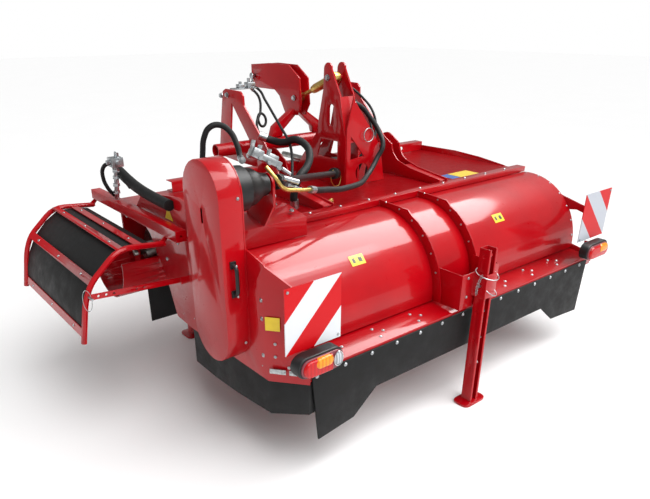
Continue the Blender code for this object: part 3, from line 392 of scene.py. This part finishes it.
def hexBolt(bm, at, direction, acrossMm=17, highMm=9, washerMm=24):
    # a hexagon head, given across its flats, on a washer
    spot = facing(at, direction)
    bmesh.ops.create_cone(bm, cap_ends=True, segments=16, radius1=washerMm / 2000, radius2=washerMm / 2000,
                          depth=0.003, matrix=spot @ Matrix.Translation((0, 0, 0.001)))
    bmesh.ops.create_cone(bm, cap_ends=True, segments=6, radius1=acrossMm / 1732, radius2=acrossMm / 1732,
                          depth=highMm / 1000, matrix=spot @ Matrix.Translation((0, 0, highMm / 2000)))


def roundBar(bm, start, end, radius):
    a, b = place(*start), place(*end)
    run = b - a
    spot = Matrix.Translation((a + b) / 2) @ run.to_track_quat("Z", "Y").to_matrix().to_4x4()
    bmesh.ops.create_cone(bm, cap_ends=True, segments=14, radius1=radius, radius2=radius,
                          depth=run.length, matrix=spot)


def slab(bm, low, high, edgeMm=0.0, turn=None):
    # a block with rounded edges between two corners, turned about its middle
    a, b = place(*low), place(*high)
    size = b - a
    spot = Matrix.Translation((a + b) / 2) @ (turn or Matrix.Identity(4)) @ Matrix.Diagonal((*size, 1))
    made = bmesh.ops.create_cube(bm, size=1.0, matrix=spot)
    if edgeMm:
        edges = list({e for v in made["verts"] for e in v.link_edges})
        bmesh.ops.bevel(bm, geom=edges, offset=edgeMm / 1000, segments=2, profile=0.5, affect="EDGES",
                        material=-1, clamp_overlap=True)


def wireRing(bm, at, direction, radius, wireMm=4, squeeze=1.0, narrow=1.0):
    # a ring of round wire: the wire's section is spun once round
    spot = facing(at, direction)
    section = Matrix.Translation((radius, 0, 0)) @ Matrix.Rotation(math.pi / 2, 4, "X")
    made = bmesh.ops.create_circle(bm, segments=8, radius=wireMm / 2000, matrix=section)
    spun = bmesh.ops.spin(bm, geom=made["verts"] + list({e for v in made["verts"] for e in v.link_edges}),
                          cent=(0, 0, 0), axis=(0, 0, 1), dvec=(0, 0, 0), angle=2 * math.pi, steps=28,
                          use_merge=True, use_duplicate=False)
    ring = set(made["verts"]) | {g for g in spun["geom_last"] if isinstance(g, bmesh.types.BMVert)}
    seen = list(ring)
    while seen:
        vertex = seen.pop()
        for edge in vertex.link_edges:
            other = edge.other_vert(vertex)
            if other not in ring:
                ring.add(other)
                seen.append(other)
    bmesh.ops.transform(bm, matrix=spot @ Matrix.Diagonal((narrow, squeeze, 1, 1)), verts=list(ring))


def tubeAlong(points, radius, name, material, body="housing"):
    # a hose or bent pipe: a round bevel on one smooth spline, made a mesh before it is placed
    curve = bpy.data.curves.new(name, "CURVE")
    curve.dimensions = "3D"
    curve.bevel_depth = radius
    curve.bevel_resolution = 6
    curve.use_fill_caps = True
    curve.resolution_u = 10
    spline = curve.splines.new("BEZIER")
    spline.bezier_points.add(len(points) - 1)
    for knot, at in zip(spline.bezier_points, points):
        knot.co = place(*at)
        knot.handle_left_type = knot.handle_right_type = "AUTO"
    holder = bpy.data.objects.new(name + "_path", curve)
    bpy.context.scene.collection.objects.link(holder)
    bpy.context.view_layer.update()
    shape = bpy.data.meshes.new_from_object(holder.evaluated_get(bpy.context.evaluated_depsgraph_get()))
    bpy.data.objects.remove(holder)
    bm = bmesh.new()
    bm.from_mesh(shape)
    return finishPiece(bm, name, material, body, 50)


# bolt rows
hoodArc = {"y": 0.52, "z": 0.587, "radius": 0.38}


def onArc(x, degrees, radius):
    turn = math.radians(degrees)
    return (x, hoodArc["y"] + radius * math.cos(turn), hoodArc["z"] + radius * math.sin(turn))


boltRows = {"flapPitch": 0.16, "flapReach": 1.04, "flapY": -0.0085, "flapZ": 0.510,
            "shelfX": (-0.88, -0.62, -0.36, 0.34, 0.60, 0.86), "shelfNormal": (0, -0.08, 1),
            "shelfSteps": ((0, 0.040, 0.5411), (0.05, 0.075, 0.5439), (0.01, 0.110, 0.5467)),
            "arcPitch": 14, "ribX": (-0.1542, 0.1458), "ribRadius": 0.408, "hoodEdgeX": (-1.168, 1.166),
            "hoodEdgeRadius": 0.3805, "deckPitch": 0.2, "deckY": 0.588, "deckZ": 1.0002}
bolts = bmesh.new()
count = round(2 * boltRows["flapReach"] / boltRows["flapPitch"])
for index in range(count + 1):
    x = -boltRows["flapReach"] + index * boltRows["flapPitch"]
    domeBolt(bolts, (x, boltRows["flapY"], boltRows["flapZ"]), (0, -1, 0), 14, 20)
for x in boltRows["shelfX"]:
    for shift, y, z in boltRows["shelfSteps"]:
        domeBolt(bolts, (x + shift, y, z), boltRows["shelfNormal"], 12, 18)
shaped(bolts, "flap_bolts", zincPlate)

ribBolts = bmesh.new()
for x in boltRows["ribX"]:
    for degrees in range(92, 176, boltRows["arcPitch"]):
        domeBolt(ribBolts, onArc(x, degrees, boltRows["ribRadius"]), (-1, 0, 0), 8, 12)
for x in boltRows["hoodEdgeX"]:
    for degrees in range(88, 182, boltRows["arcPitch"]):
        turn = math.radians(degrees)
        domeBolt(ribBolts, onArc(x, degrees, boltRows["hoodEdgeRadius"]), (0, math.cos(turn), math.sin(turn)),
                 9, 13)
for index in range(2, 11):                            # the pedestal covers the first two places of this row
    x = -1.0 + index * boltRows["deckPitch"]
    domeBolt(ribBolts, (x, boltRows["deckY"], boltRows["deckZ"]), (0, 0, 1), 12, 18)
shaped(ribBolts, "hood_bolts", zincPlate)

plateFace = {"sideX": 1.1902, "lipY": -0.0305, "chamferAt": (-1.187, 0.133), "chamferRun": (0.112, -0.14),
             "chamferNormal": (-0.781, -0.625)}
plateBolts = bmesh.new()
for y, z in ((0.165, 0.842), (0.165, 0.760), (0.165, 0.590), (0.62, 1.060), (0.74, 1.085), (0.70, 0.60),
             (0.86, 0.90), (1.00, 0.78), (1.30, 0.98), (1.45, 0.90), (0.62, 0.70)):
    domeBolt(plateBolts, (-plateFace["sideX"], y, z), (-1, 0, 0), 14, 20)
lean = Vector((*plateFace["chamferNormal"], 0)).normalized()
for share, z in ((0.18, 0.60), (0.85, 0.60), (0.18, 0.66), (0.5, 0.555)):
    x, y = (start + run * share for start, run in zip(plateFace["chamferAt"], plateFace["chamferRun"]))
    domeBolt(plateBolts, (x + lean.x * 0.0042, y + lean.y * 0.0042, z), tuple(lean), 9, 14)
for y, z in ((0.30, 0.62), (0.55, 0.72), (0.85, 0.80), (1.15, 0.86), (1.45, 0.90)):
    domeBolt(plateBolts, (plateFace["sideX"], y, z), (1, 0, 0), 14, 20)
for z in (0.62, 0.72):
    for x in (-0.10, 0.10):
        domeBolt(plateBolts, (x, plateFace["lipY"], z), (0, -1, 0), 12, 17)
shaped(plateBolts, "side_plate_bolts", zincPlate)

pedestalBolts = bmesh.new()
for y, z in ((0.365, 1.19), (0.43, 1.19)):
    hexBolt(pedestalBolts, (-0.9728, y, z), (1, 0, 0), 15, 8, 20)
for x, y in ((-0.80, 0.47), (-0.80, 0.60), (-0.80, 0.70)):
    hexBolt(pedestalBolts, (x, y, 1.0722), (0, 0, 1), 17, 9)
shaped(pedestalBolts, "pedestal_bolts", zincPlate)

deflectorBolts = bmesh.new()
for at, direction in (((-1.400, 0.9485), (-0.09, 1)), ((-1.492, 0.9525), (-0.14, 1)),
                      ((-1.642, 0.834), (-0.7, 0.7)), ((-1.716, 0.6005), (-0.98, 0.2))):
    for y in (0.93, 1.23, 1.53):
        domeBolt(deflectorBolts, (at[0], y, at[1]), (direction[0], 0, direction[1]), 10, 14)
shaped(deflectorBolts, "deflector_bolts", zincPlate, "deflector")

coverScrews = bmesh.new()
for z in (0.855, 0.985):
    domeBolt(coverScrews, (-1.257, 0.2265, z), (0, -1, 0), 9, 12)
for z in (0.62, 1.24):
    domeBolt(coverScrews, (-1.215, 0.2568, z), (0, -1, 0), 10, 14)
shaped(coverScrews, "cover_screws", zincPlate, "belt_cover")
print("bolts made")

# linkage pins and hinge nuts
pins = bmesh.new()
for x in (-0.0572, 0.0572):
    side = -1 if x < 0 else 1
    hexBolt(pins, (x, 1.105, 1.565), (side, 0, 0), 24, 12, 34)
    hexBolt(pins, (x, 1.30, 1.02), (side, 0, 0), 20, 10, 28)
shaped(pins, "linkage_pins", zincPlate)

gooseneckNuts = bmesh.new()
for x in (-0.4535, 0.4535):
    hexBolt(gooseneckNuts, (x, 1.340, 1.150), (-1 if x < 0 else 1, 0, 0), 24, 12, 34)
for x in (-0.044, 0.044):
    side = -1 if x < 0 else 1
    hexBolt(gooseneckNuts, (x, 1.440, 1.430), (side, 0, 0), 22, 11, 32)
shaped(gooseneckNuts, "gooseneck_pin_nuts", zincPlate, "headstock")

# rear lamps
lampSize = {"middleZ": 0.6325, "frontY": -0.1175, "backY": -0.046, "halfLong": 0.070, "radius": 0.047,
            "redEnds": 0.045, "amberUp": 0.012, "amberHalf": 0.022, "amberRadius": 0.024, "clearX": 0.080,
            "clearRadius": 0.029, "clearDeep": 0.36, "clearNarrow": 0.72, "ringRadius": 0.032}


def stadiumSolid(bm, x, z, halfLong, radius, backY, frontY, roundMm, steps=12):
    # a flat-bottomed capsule outline extruded towards the rear, its front edge rounded
    rim = []
    for side, first in ((1, -90), (-1, 90)):
        for index in range(steps + 1):
            turn = math.radians(first + 180 * index / steps)
            rim.append(bm.verts.new(place(x + side * halfLong + radius * math.cos(turn), backY,
                                          z + radius * math.sin(turn))))
    face = bm.faces.new(rim)
    grown = bmesh.ops.extrude_face_region(bm, geom=[face])
    front = [g for g in grown["geom"] if isinstance(g, bmesh.types.BMVert)]
    bmesh.ops.translate(bm, verts=front, vec=(0, frontY - backY, 0))
    bmesh.ops.recalc_face_normals(bm, faces=bm.faces)
    edges = [e for e in bm.edges if e.verts[0] in set(front) and e.verts[1] in set(front)]
    bmesh.ops.bevel(bm, geom=edges, offset=roundMm / 1000, segments=4, profile=0.5, affect="EDGES",
                    material=-1, clamp_overlap=True)


def trimmed(bm, at, normal):
    # keeps what lies behind the plane and closes the cut
    cut = bmesh.ops.bisect_plane(bm, geom=bm.verts[:] + bm.edges[:] + bm.faces[:], plane_co=place(*at),
                                 plane_no=normal, clear_outer=True, dist=0.00001)
    cutEdges = [e for e in cut["geom_cut"] if isinstance(e, bmesh.types.BMEdge)]
    bmesh.ops.holes_fill(bm, edges=cutEdges)


def rearLamp(node, x, inner, amberShift, clear=True):
    # inner: +1 where the clear lamp is at the lamp's right end, -1 at its left
    middleZ, front, back = lampSize["middleZ"], lampSize["frontY"], lampSize["backY"]
    halfLong, radius = lampSize["halfLong"], lampSize["radius"]
    shell = bmesh.new()
    stadiumSolid(shell, x, middleZ, halfLong, radius, back, front + 0.020, 6)
    casing = shaped(shell, node + "_surround", blackPlastic)
    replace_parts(casing, node)
    rim = bmesh.new()
    stadiumSolid(rim, x + inner * 0.004, middleZ - 0.003, halfLong - 0.003, radius - 0.006, front + 0.024,
                 front + 0.013, 3)
    shaped(rim, node + "_rim", lampRim)
    red = bmesh.new()
    stadiumSolid(red, x + inner * 0.005, middleZ - 0.004, halfLong - 0.006, radius - 0.010, front + 0.018,
                 front + 0.0005, 10)
    if clear:
        trimmed(red, (x + inner * lampSize["redEnds"], 0, middleZ), (inner, 0, 0))
    shaped(red, node + "_red_lens", redLens)
    amber = bmesh.new()
    stadiumSolid(amber, x + amberShift, middleZ + lampSize["amberUp"], lampSize["amberHalf"],
                 lampSize["amberRadius"], front + 0.016, front - 0.0045, 12)
    shaped(amber, node + "_amber_lens", amberLens)
    if not clear:
        return
    glass = bmesh.new()
    clearX = x + inner * lampSize["clearX"]
    spot = facing((clearX, front + 0.010, middleZ - 0.001), (0, -1, 0))
    oval = Matrix.Diagonal((lampSize["clearNarrow"], 1, lampSize["clearDeep"], 1))
    bmesh.ops.create_uvsphere(glass, u_segments=24, v_segments=12, radius=lampSize["clearRadius"],
                              matrix=spot @ oval)
    shaped(glass, node + "_clear_lens", clearLens)
    ring = bmesh.new()
    wireRing(ring, (clearX, front + 0.008, middleZ - 0.001), (0, -1, 0), lampSize["ringRadius"], 5, 1.0,
             lampSize["clearNarrow"])
    shaped(ring, node + "_chrome_ring", brightChrome)


rearLamp("rear_lamp_left", -1.090, 1, 0.004)
rearLamp("rear_lamp_right", 1.040, -1, 0.036, False)
armLow, armHigh = 1.099, 1.182
lampArms = bmesh.new()
slab(lampArms, (armLow, -0.060, 0.598), (armHigh, -0.050, 0.622), 1.5)
slab(lampArms, (1.178, -0.060, 0.565), (1.183, 0.060, 0.622), 1.5)
slab(lampArms, (-1.081, -0.046, 0.600), (-1.073, -0.0115, 0.640), 1.0)
shaped(lampArms, "lamp_arms", redPaint)
print("lamps made")

# labels without lettering
labels = {"hoodDegrees": 136, "hoodX": (-0.592, 0.492), "wide": 0.086, "tall": 0.052, "film": 0.0006,
          "marks": (("_mark_a", -0.022, 0.016), ("_mark_b", 0.018, 0.022)), "markTall": 0.024,
          "chamferMiddle": (-1.1775, 0.1085), "chamferHalf": (0.031, 0.0004), "chamferZ": (0.722, 0.782),
          "chamferTurn": -51.3, "deckZ": (0.9784, 0.9790), "deckY": (0.675, 0.785),
          "yellowX": (0.68, 0.86), "blueX": (0.60, 0.676),
          "triangle": ((0.885, 1.000), (0.965, 1.000), (0.925, 1.066)), "triangleX": -1.1904}


def arcLabel(name, x, degrees, wide, tall, material):
    # a film that follows the hood's curve: a strip spun along the arc, then given the film's thickness
    bm = bmesh.new()
    halfTurn = math.degrees(tall / 2 / (hoodArc["radius"] + labels["film"]))
    outside = hoodArc["radius"] + 2 * labels["film"]
    ends = [bm.verts.new(place(*onArc(x + side * wide / 2, degrees - halfTurn, outside))) for side in (-1, 1)]
    edge = bm.edges.new(ends)
    bmesh.ops.spin(bm, geom=[edge, *ends], cent=place(0, hoodArc["y"], hoodArc["z"]), axis=(1, 0, 0),
                   dvec=(0, 0, 0), angle=math.radians(2 * halfTurn), steps=8)
    bmesh.ops.recalc_face_normals(bm, faces=bm.faces)
    bmesh.ops.solidify(bm, geom=bm.faces[:], thickness=-labels["film"])
    shaped(bm, name, material)


for name, x in zip(("label_hood_left", "label_hood_right"), labels["hoodX"]):
    arcLabel(name, x, labels["hoodDegrees"], labels["wide"], labels["tall"], yellowFilm)
    for ending, offset, size in labels["marks"]:
        arcLabel(name + ending, x + offset, labels["hoodDegrees"], size, labels["markTall"], darkFilm)
chamferLabel = bmesh.new()
(labelX, labelY), (halfWide, halfThick) = labels["chamferMiddle"], labels["chamferHalf"]
slab(chamferLabel, (labelX - halfWide, labelY - halfThick, labels["chamferZ"][0]),
     (labelX + halfWide, labelY + halfThick, labels["chamferZ"][1]), 0,
     Matrix.Rotation(math.radians(labels["chamferTurn"]), 4, "Z"))
shaped(chamferLabel, "label_side_left", yellowFilm)
for name, span, film in (("label_deck_right", labels["yellowX"], yellowFilm),
                         ("label_deck_blue", labels["blueX"], blueFilm)):
    deckLabel = bmesh.new()
    slab(deckLabel, *((span[end], labels["deckY"][end], labels["deckZ"][end]) for end in (0, 1)))
    shaped(deckLabel, name, film)
warning = bmesh.new()
corners = [warning.verts.new(place(labels["triangleX"], y, z)) for y, z in labels["triangle"]]
triangle = warning.faces.new(corners)
grown = bmesh.ops.extrude_face_region(warning, geom=[triangle])
bmesh.ops.translate(warning, verts=[g for g in grown["geom"] if isinstance(g, bmesh.types.BMVert)],
                    vec=(-labels["film"], 0, 0))
shaped(warning, "label_triangle", yellowFilm)
print("labels made")

# board bolts and skirt clamps
boardBolts = bmesh.new()
for x, z in ((-1.205, 0.946), (-0.951, 0.692), (1.176, 0.956), (0.922, 0.702)):
    hexBolt(boardBolts, (x, -0.0352, z), (0, -1, 0), 9, 3, 12)
shaped(boardBolts, "board_bolts", zincPlate)


def clampStrip(bm, start, end, z, outward):
    # a flat bar against the rubber with a screw at each end
    a, b = Vector((*start, z)), Vector((*end, z))
    middle, run, out = (a + b) / 2, b - a, Vector((*outward, 0)).normalized()
    turn = Matrix.Rotation(math.atan2(run.y, run.x), 4, "Z")
    half = Vector((run.length / 2 - 0.004, 0.0015, 0.011))
    at = middle + out * 0.002
    slab(bm, tuple(at - half), tuple(at + half), 0.5, turn)
    for share in (0.12, 0.88):
        domeBolt(bm, tuple(a + run * share + out * 0.0036), tuple(out), 9, 12)


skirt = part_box("side_skirt_left")
skirtTop = skirt[1].z - 0.016
clamps = bmesh.new()
outX = skirt[0].x - middleX
for first, last in ((0.150, 0.36), (0.37, 0.58), (0.59, 0.79)):
    clampStrip(clamps, (outX, last), (outX, first), skirtTop, (-1, 0))
cornerA, cornerB = Vector((-1.1947, 0.1269)), Vector((-1.0885, -0.0059))
for first, last in ((0.02, 0.48), (0.52, 0.98)):
    clampStrip(clamps, tuple(cornerA.lerp(cornerB, first)), tuple(cornerA.lerp(cornerB, last)), skirtTop,
               plateFace["chamferNormal"])
shaped(clamps, "skirt_clamps", clampSteel)

# stand clips and chain
clips = bmesh.new()
wireRing(clips, (-0.012, -0.074, 0.735), (0.1, -0.25, 1), 0.062, 5, 0.95)
wireRing(clips, (-0.004, -0.095, 0.655), (0.35, -0.5, 1), 0.050, 4.5, 0.8)
roundBar(clips, (-0.070, -0.074, 0.682), (0.034, -0.074, 0.682), 0.0065)
shaped(clips, "stand_clips", zincPlate)
chainShape = {"links": 13, "top": (-0.070, -0.085, 0.742), "back": 0.02, "drop": 0.104, "sag": 0.012,
              "linkRadius": 0.0062, "wireMm": 2.4}
chain = bmesh.new()
for index in range(chainShape["links"]):
    share = index / (chainShape["links"] - 1)
    sag = chainShape["sag"] * math.sin(math.pi * share)
    x, y, z = chainShape["top"]
    at = (x - sag, y + chainShape["back"] * share, z - chainShape["drop"] * share)
    wireRing(chain, at, (1, 0, 0) if index % 2 else (0, 1, 0), chainShape["linkRadius"], chainShape["wireMm"])
shaped(chain, "stand_chain", zincPlate)

# hydraulics round the drive pedestal
manifold = bmesh.new()
slope = Matrix.Rotation(math.radians(30), 4, "Y") @ Matrix.Rotation(math.radians(-20), 4, "Z")
slab(manifold, (-1.045, 0.385, 1.322), (-0.905, 0.445, 1.350), 3, slope)
slab(manifold, (-1.050, 0.370, 1.345), (-1.005, 0.420, 1.385), 4, slope)
slab(manifold, (-0.970, 0.380, 1.318), (-0.925, 0.430, 1.352), 4, slope)
for at, high in (((-1.045, 0.40, 1.385), 0.03), ((-1.010, 0.405, 1.365), 0.026),
                 ((-0.965, 0.405, 1.345), 0.024)):
    roundBar(manifold, at, (at[0] + 0.004, at[1] - 0.004, at[2] + high), 0.009)
    hexBolt(manifold, (at[0] + 0.004, at[1] - 0.004, at[2] + high - 0.004), (0.1, -0.1, 1), 16, 9, 19)
for at in ((-0.985, 0.372, 1.325), (-0.940, 0.368, 1.300), (-1.030, 0.372, 1.350)):
    hexBolt(manifold, at, (0, -1, 0.3), 15, 10, 18)
roundBar(manifold, (-0.905, 0.395, 1.290), (-0.870, 0.385, 1.262), 0.010)
roundBar(manifold, (-0.930, 0.350, 1.262), (-0.860, 0.340, 1.236), 0.011)
shaped(manifold, "drive_manifold", zincPlate)
mainRoute = [(-1.012, 0.355, 1.318), (-0.990, 0.322, 1.275), (-0.958, 0.316, 1.232), (-0.875, 0.332, 1.206),
             (-0.778, 0.360, 1.188), (-0.690, 0.400, 1.164), (-0.604, 0.450, 1.143), (-0.490, 0.500, 1.117),
             (-0.372, 0.560, 1.098), (-0.240, 0.640, 1.076), (-0.107, 0.740, 1.054), (0.010, 0.830, 1.052),
             (0.096, 0.880, 1.075), (0.163, 0.905, 1.125), (0.206, 0.906, 1.190), (0.226, 0.962, 1.262),
             (0.198, 1.020, 1.345), (0.148, 1.050, 1.405), (0.080, 1.075, 1.430)]
loopRoute = [(-0.575, 0.745, 0.992), (-0.582, 0.740, 1.060), (-0.545, 0.745, 1.138), (-0.470, 0.775, 1.178),
             (-0.415, 0.820, 1.222), (-0.392, 0.880, 1.262), (-0.408, 0.950, 1.285), (-0.420, 1.030, 1.262),
             (-0.442, 1.110, 1.262), (-0.500, 1.150, 1.290)]
bridgeRoute = [(-1.160, 0.610, 1.090), (-1.170, 0.598, 1.180), (-1.172, 0.592, 1.280), (-1.166, 0.588, 1.360),
               (-1.158, 0.580, 1.420), (-1.136, 0.568, 1.458), (-1.100, 0.550, 1.466), (-1.066, 0.528, 1.440),
               (-1.053, 0.500, 1.388), (-1.057, 0.470, 1.340), (-1.070, 0.440, 1.338)]
hoseRadius = {"main": 0.0145, "mainPipe": 0.0085, "loop": 0.0195, "bridge": 0.0120, "line": 0.0075,
              "post": 0.010, "sleeve": 0.027}
crimpSize = {"main": 0.0165, "loop": 0.0225, "bridge": 0.0145, "behind": 0.004, "ahead": 0.040}
pipeEnd = 4                                                   # the pressed pipe ends at this point of the route
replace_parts(tubeAlong(mainRoute[pipeEnd:], hoseRadius["main"], "main_hose_skin", hoseRubber),
            "main_hose")
tubeAlong(mainRoute[:pipeEnd + 1], hoseRadius["mainPipe"], "main_pipe", yellowZinc)
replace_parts(tubeAlong(loopRoute, hoseRadius["loop"], "loop_hose_skin", hoseRubber), "loop_hose")
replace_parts(tubeAlong(bridgeRoute, hoseRadius["bridge"], "bridge_hose_skin", hoseRubber),
            "bridge_hose")
crimps = bmesh.new()
for hose, route in (("main", mainRoute[pipeEnd:]), ("bridge", bridgeRoute), ("bridge", bridgeRoute[::-1]),
                    ("loop", loopRoute), ("loop", loopRoute[::-1]), ("main", mainRoute[::-1])):
    start, end = Vector(route[0]), Vector(route[1])
    step = (end - start).normalized()
    roundBar(crimps, start - step * crimpSize["behind"], start + step * crimpSize["ahead"], crimpSize[hose])
shaped(crimps, "hose_crimps", zincPlate)
spindle = bmesh.new()
roundBar(spindle, (-0.905, 0.345, 1.228), (-0.835, 0.355, 1.196), 0.009)
hexBolt(spindle, (-0.905, 0.345, 1.228), (-0.9, 0, 0.4), 20, 12, 22)
hexBolt(spindle, (-0.845, 0.353, 1.200), (0.9, 0, -0.4), 18, 12, 22)
shaped(spindle, "drive_spindle", zincPlate)

thinHoses = {
    "line_hose_a": [(-0.305, 1.520, 1.512), (-0.277, 1.480, 1.492), (-0.290, 1.390, 1.437),
                    (-0.308, 1.300, 1.383), (-0.345, 1.170, 1.320), (-0.383, 1.050, 1.267),
                    (-0.470, 0.900, 1.210), (-0.545, 0.800, 1.120), (-0.565, 0.750, 1.000)],
    "line_hose_b": [(-0.315, 1.500, 1.500), (-0.285, 1.465, 1.450), (-0.300, 1.430, 1.372),
                    (-0.330, 1.410, 1.325), (-0.300, 1.410, 1.290), (-0.270, 1.420, 1.325),
                    (-0.300, 1.425, 1.362), (-0.345, 1.400, 1.330), (-0.390, 1.330, 1.285),
                    (-0.430, 1.230, 1.270), (-0.455, 1.160, 1.275)],
    "line_hose_c": [(0.075, 1.160, 1.480), (0.150, 1.190, 1.470), (0.230, 1.170, 1.410),
                    (0.285, 1.110, 1.310), (0.255, 1.060, 1.200), (0.200, 1.050, 1.120), (0.150, 1.060, 1.020)],
    "line_hose_d": [(0.075, 1.130, 1.440), (0.140, 1.150, 1.420), (0.200, 1.130, 1.360),
                    (0.240, 1.080, 1.270), (0.215, 1.040, 1.180), (0.140, 1.040, 1.110), (0.085, 1.060, 1.070)],
    "line_hose_e": [(0.075, 1.190, 1.500), (0.200, 1.250, 1.505), (0.320, 1.220, 1.430), (0.370, 1.160, 1.330),
                    (0.330, 1.100, 1.210), (0.250, 1.060, 1.110), (0.210, 1.050, 0.985)],
}

tilting = ("line_hose_a", "line_hose_b")               # these two cross from the tilting frame to the housing
ferrule = {"radius": 0.0095, "share": 0.35}            # share of the route's first stretch that it covers
fittings, couplers = bmesh.new(), bmesh.new()
for name, route in thinHoses.items():
    tilts = name in tilting
    line = tubeAlong(route, hoseRadius["line"], name, hoseRubber, None if tilts else "housing")
    if tilts:
        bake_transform(line)
    ferruleEnd = [a + (b - a) * ferrule["share"] for a, b in zip(route[0], route[1])]
    roundBar(couplers if tilts else fittings, route[0], ferruleEnd, ferrule["radius"])
slab(couplers, (-0.440, 1.470, 1.496), (-0.290, 1.530, 1.502), 1)
slab(couplers, (-0.345, 1.485, 1.502), (-0.290, 1.525, 1.530), 3)
slab(couplers, (-0.405, 1.485, 1.502), (-0.365, 1.520, 1.522), 3)
slab(fittings, (0.0505, 1.120, 1.425), (0.080, 1.200, 1.515), 3)
hexBolt(couplers, (-0.325, 1.505, 1.530), (0, 0, 1), 16, 22, 18)
hexBolt(couplers, (-0.300, 1.505, 1.530), (0.3, 0, 1), 14, 16, 16)
hexBolt(couplers, (-0.385, 1.503, 1.522), (0, 0, 1), 16, 14, 18)
for x in (-0.4540, -0.4925):
    hexBolt(couplers, (x, 1.540, 1.465), (-1, 0, 0), 20, 12, 30)
shaped(fittings, "line_fittings", zincPlate)
shaped(couplers, "line_couplers", zincPlate, "headstock")
tie = bmesh.new()
wireRing(tie, (0.108, 0.925, 1.260), (0.08, -1, 0.05), 0.042, 6, 0.9)
shaped(tie, "hose_tie_ring", zincPlate)
clipRing = bmesh.new()
wireRing(clipRing, (-0.110, 0.960, 1.040), (0.3, -0.9, 0.15), 0.055, 4.5, 0.9)
shaped(clipRing, "spare_pin_ring", yellowZinc)
sparePin = bmesh.new()
roundBar(sparePin, (-0.375, 0.715, 0.989), (-0.325, 0.745, 0.989), 0.009)
slab(sparePin, (-0.385, 0.705, 0.9785), (-0.345, 0.735, 0.996), 2)
shaped(sparePin, "spare_pin", yellowZinc)
linkClip = bmesh.new()
wireRing(linkClip, (-1.685, 0.762, 0.770), (0.2, -1, 0.1), 0.048, 4, 1.0, 0.42)
roundBar(linkClip, (-1.668, 0.745, 0.776), (-1.668, 0.800, 0.776), 0.006)
shaped(linkClip, "link_clip", zincPlate, "deflector")

postHoses = {
    "post_hose_a": [(-1.252, 1.378, 1.205), (-1.235, 1.430, 1.190), (-1.190, 1.500, 1.130),
                    (-1.160, 1.480, 1.080), (-1.152, 1.440, 1.050)],
    "post_hose_b": [(-1.278, 1.345, 1.215), (-1.305, 1.370, 1.190), (-1.306, 1.395, 1.130),
                    (-1.285, 1.400, 1.070), (-1.252, 1.420, 1.030)],
}
for name, route in postHoses.items():
    tubeAlong(route, hoseRadius["post"], name, hoseRubber)
postFittings = bmesh.new()
for z in (1.045, 1.085, 1.125, 1.160):
    hexBolt(postFittings, (-1.248, 1.397 - (z - 1.0155) * 0.26, z), (0, 0, 1), 30, 14, 36)
for at, direction in (((-1.248, 1.318, 1.215), (0, -1, 0)), ((-1.278, 1.345, 1.215), (-1, 0, 0)),
                      ((-1.252, 1.378, 1.205), (0, 1, 0)), ((-1.238, 1.350, 1.235), (0, 0, 1))):
    hexBolt(postFittings, at, direction, 20, 20, 24)
shaped(postFittings, "post_fittings", zincPlate)
sleeveRoute = [(-1.212, 0.860, 1.085), (-1.212, 1.020, 1.090), (-1.210, 1.180, 1.100), (-1.200, 1.330, 1.116),
               (-1.190, 1.470, 1.140)]
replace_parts(tubeAlong(sleeveRoute, hoseRadius["sleeve"], "hose_sleeve_skin", hoseRubber),
            "hose_sleeve")
print("hydraulics made")

# camera, light and floor
shot = {"at": (-2.416, -1.693, 1.835), "tilt": 63.33, "pan": -39.07, "lens": 33.43,
        "shift": (0.0146, 0.1192)}
lens = bpy.data.cameras.new("camera")
lens.sensor_width = 36
lens.lens = shot["lens"]
lens.shift_x, lens.shift_y = shot["shift"]
camera = bpy.data.objects.new("camera", lens)
bpy.context.scene.collection.objects.link(camera)
camera.location = place(*shot["at"])
camera.rotation_euler = Euler((math.radians(shot["tilt"]), 0, math.radians(shot["pan"])))
bpy.context.scene.camera = camera


def softbox(name, at, aim, size, watts):
    light = bpy.data.lights.new(name, "AREA")
    light.shape = "RECTANGLE"
    light.size, light.size_y = size
    light.energy = watts
    holder = bpy.data.objects.new(name, light)
    bpy.context.scene.collection.objects.link(holder)
    holder.location = place(*at)
    holder.rotation_euler = (place(*aim) - place(*at)).to_track_quat("-Z", "Y").to_euler()
    return holder


softbox("overhead", (0.0, -0.9, 3.9), (0.0, 0.5, 0.6), (5.0, 1.3), 60)
gloss = softbox("glossPanel", (2.5, 0.35, 3.7), (2.5, 0.35, 0), (3.6, 2.9), 330)
gloss.visible_diffuse = False                                       # it only shows as the soft gleam on paint
daylight = {"energy": 2.6, "softDegrees": 62, "tilt": 38, "pan": 14, "surround": 0.42, "backdrop": 1.0}
sky = bpy.data.lights.new("broadLight", "SUN")
sky.energy = daylight["energy"]
sky.angle = math.radians(daylight["softDegrees"])
skyHolder = bpy.data.objects.new("broadLight", sky)
bpy.context.scene.collection.objects.link(skyHolder)
skyHolder.rotation_euler = Euler((math.radians(daylight["tilt"]), 0, math.radians(daylight["pan"])))
world = bpy.data.worlds.new("studio")
world.use_nodes = True
surround = world.node_tree.nodes["Background"]
surround.inputs["Color"].default_value = (1, 1, 1, 1)
seen = addNode(world.node_tree, "ShaderNodeLightPath")              # the backdrop is white, its light is softer
strength = spread(world.node_tree, seen.outputs["Is Camera Ray"], daylight["surround"], daylight["backdrop"],
                  0, 1)
world.node_tree.links.new(strength, surround.inputs["Strength"])
bpy.context.scene.world = world
bpy.context.scene.view_settings.view_transform = "Standard"

ground = bmesh.new()
bmesh.ops.create_grid(ground, x_segments=8, y_segments=8, size=40,
                      matrix=Matrix.Translation(place(0, 0, -0.0006)))
floorMesh = bpy.data.meshes.new("floor")
ground.to_mesh(floorMesh)
ground.free()
floorMesh.materials.append(paleFloor())
floor = bpy.data.objects.new("floor", floorMesh)
bpy.context.scene.collection.objects.link(floor)
print("stage set")
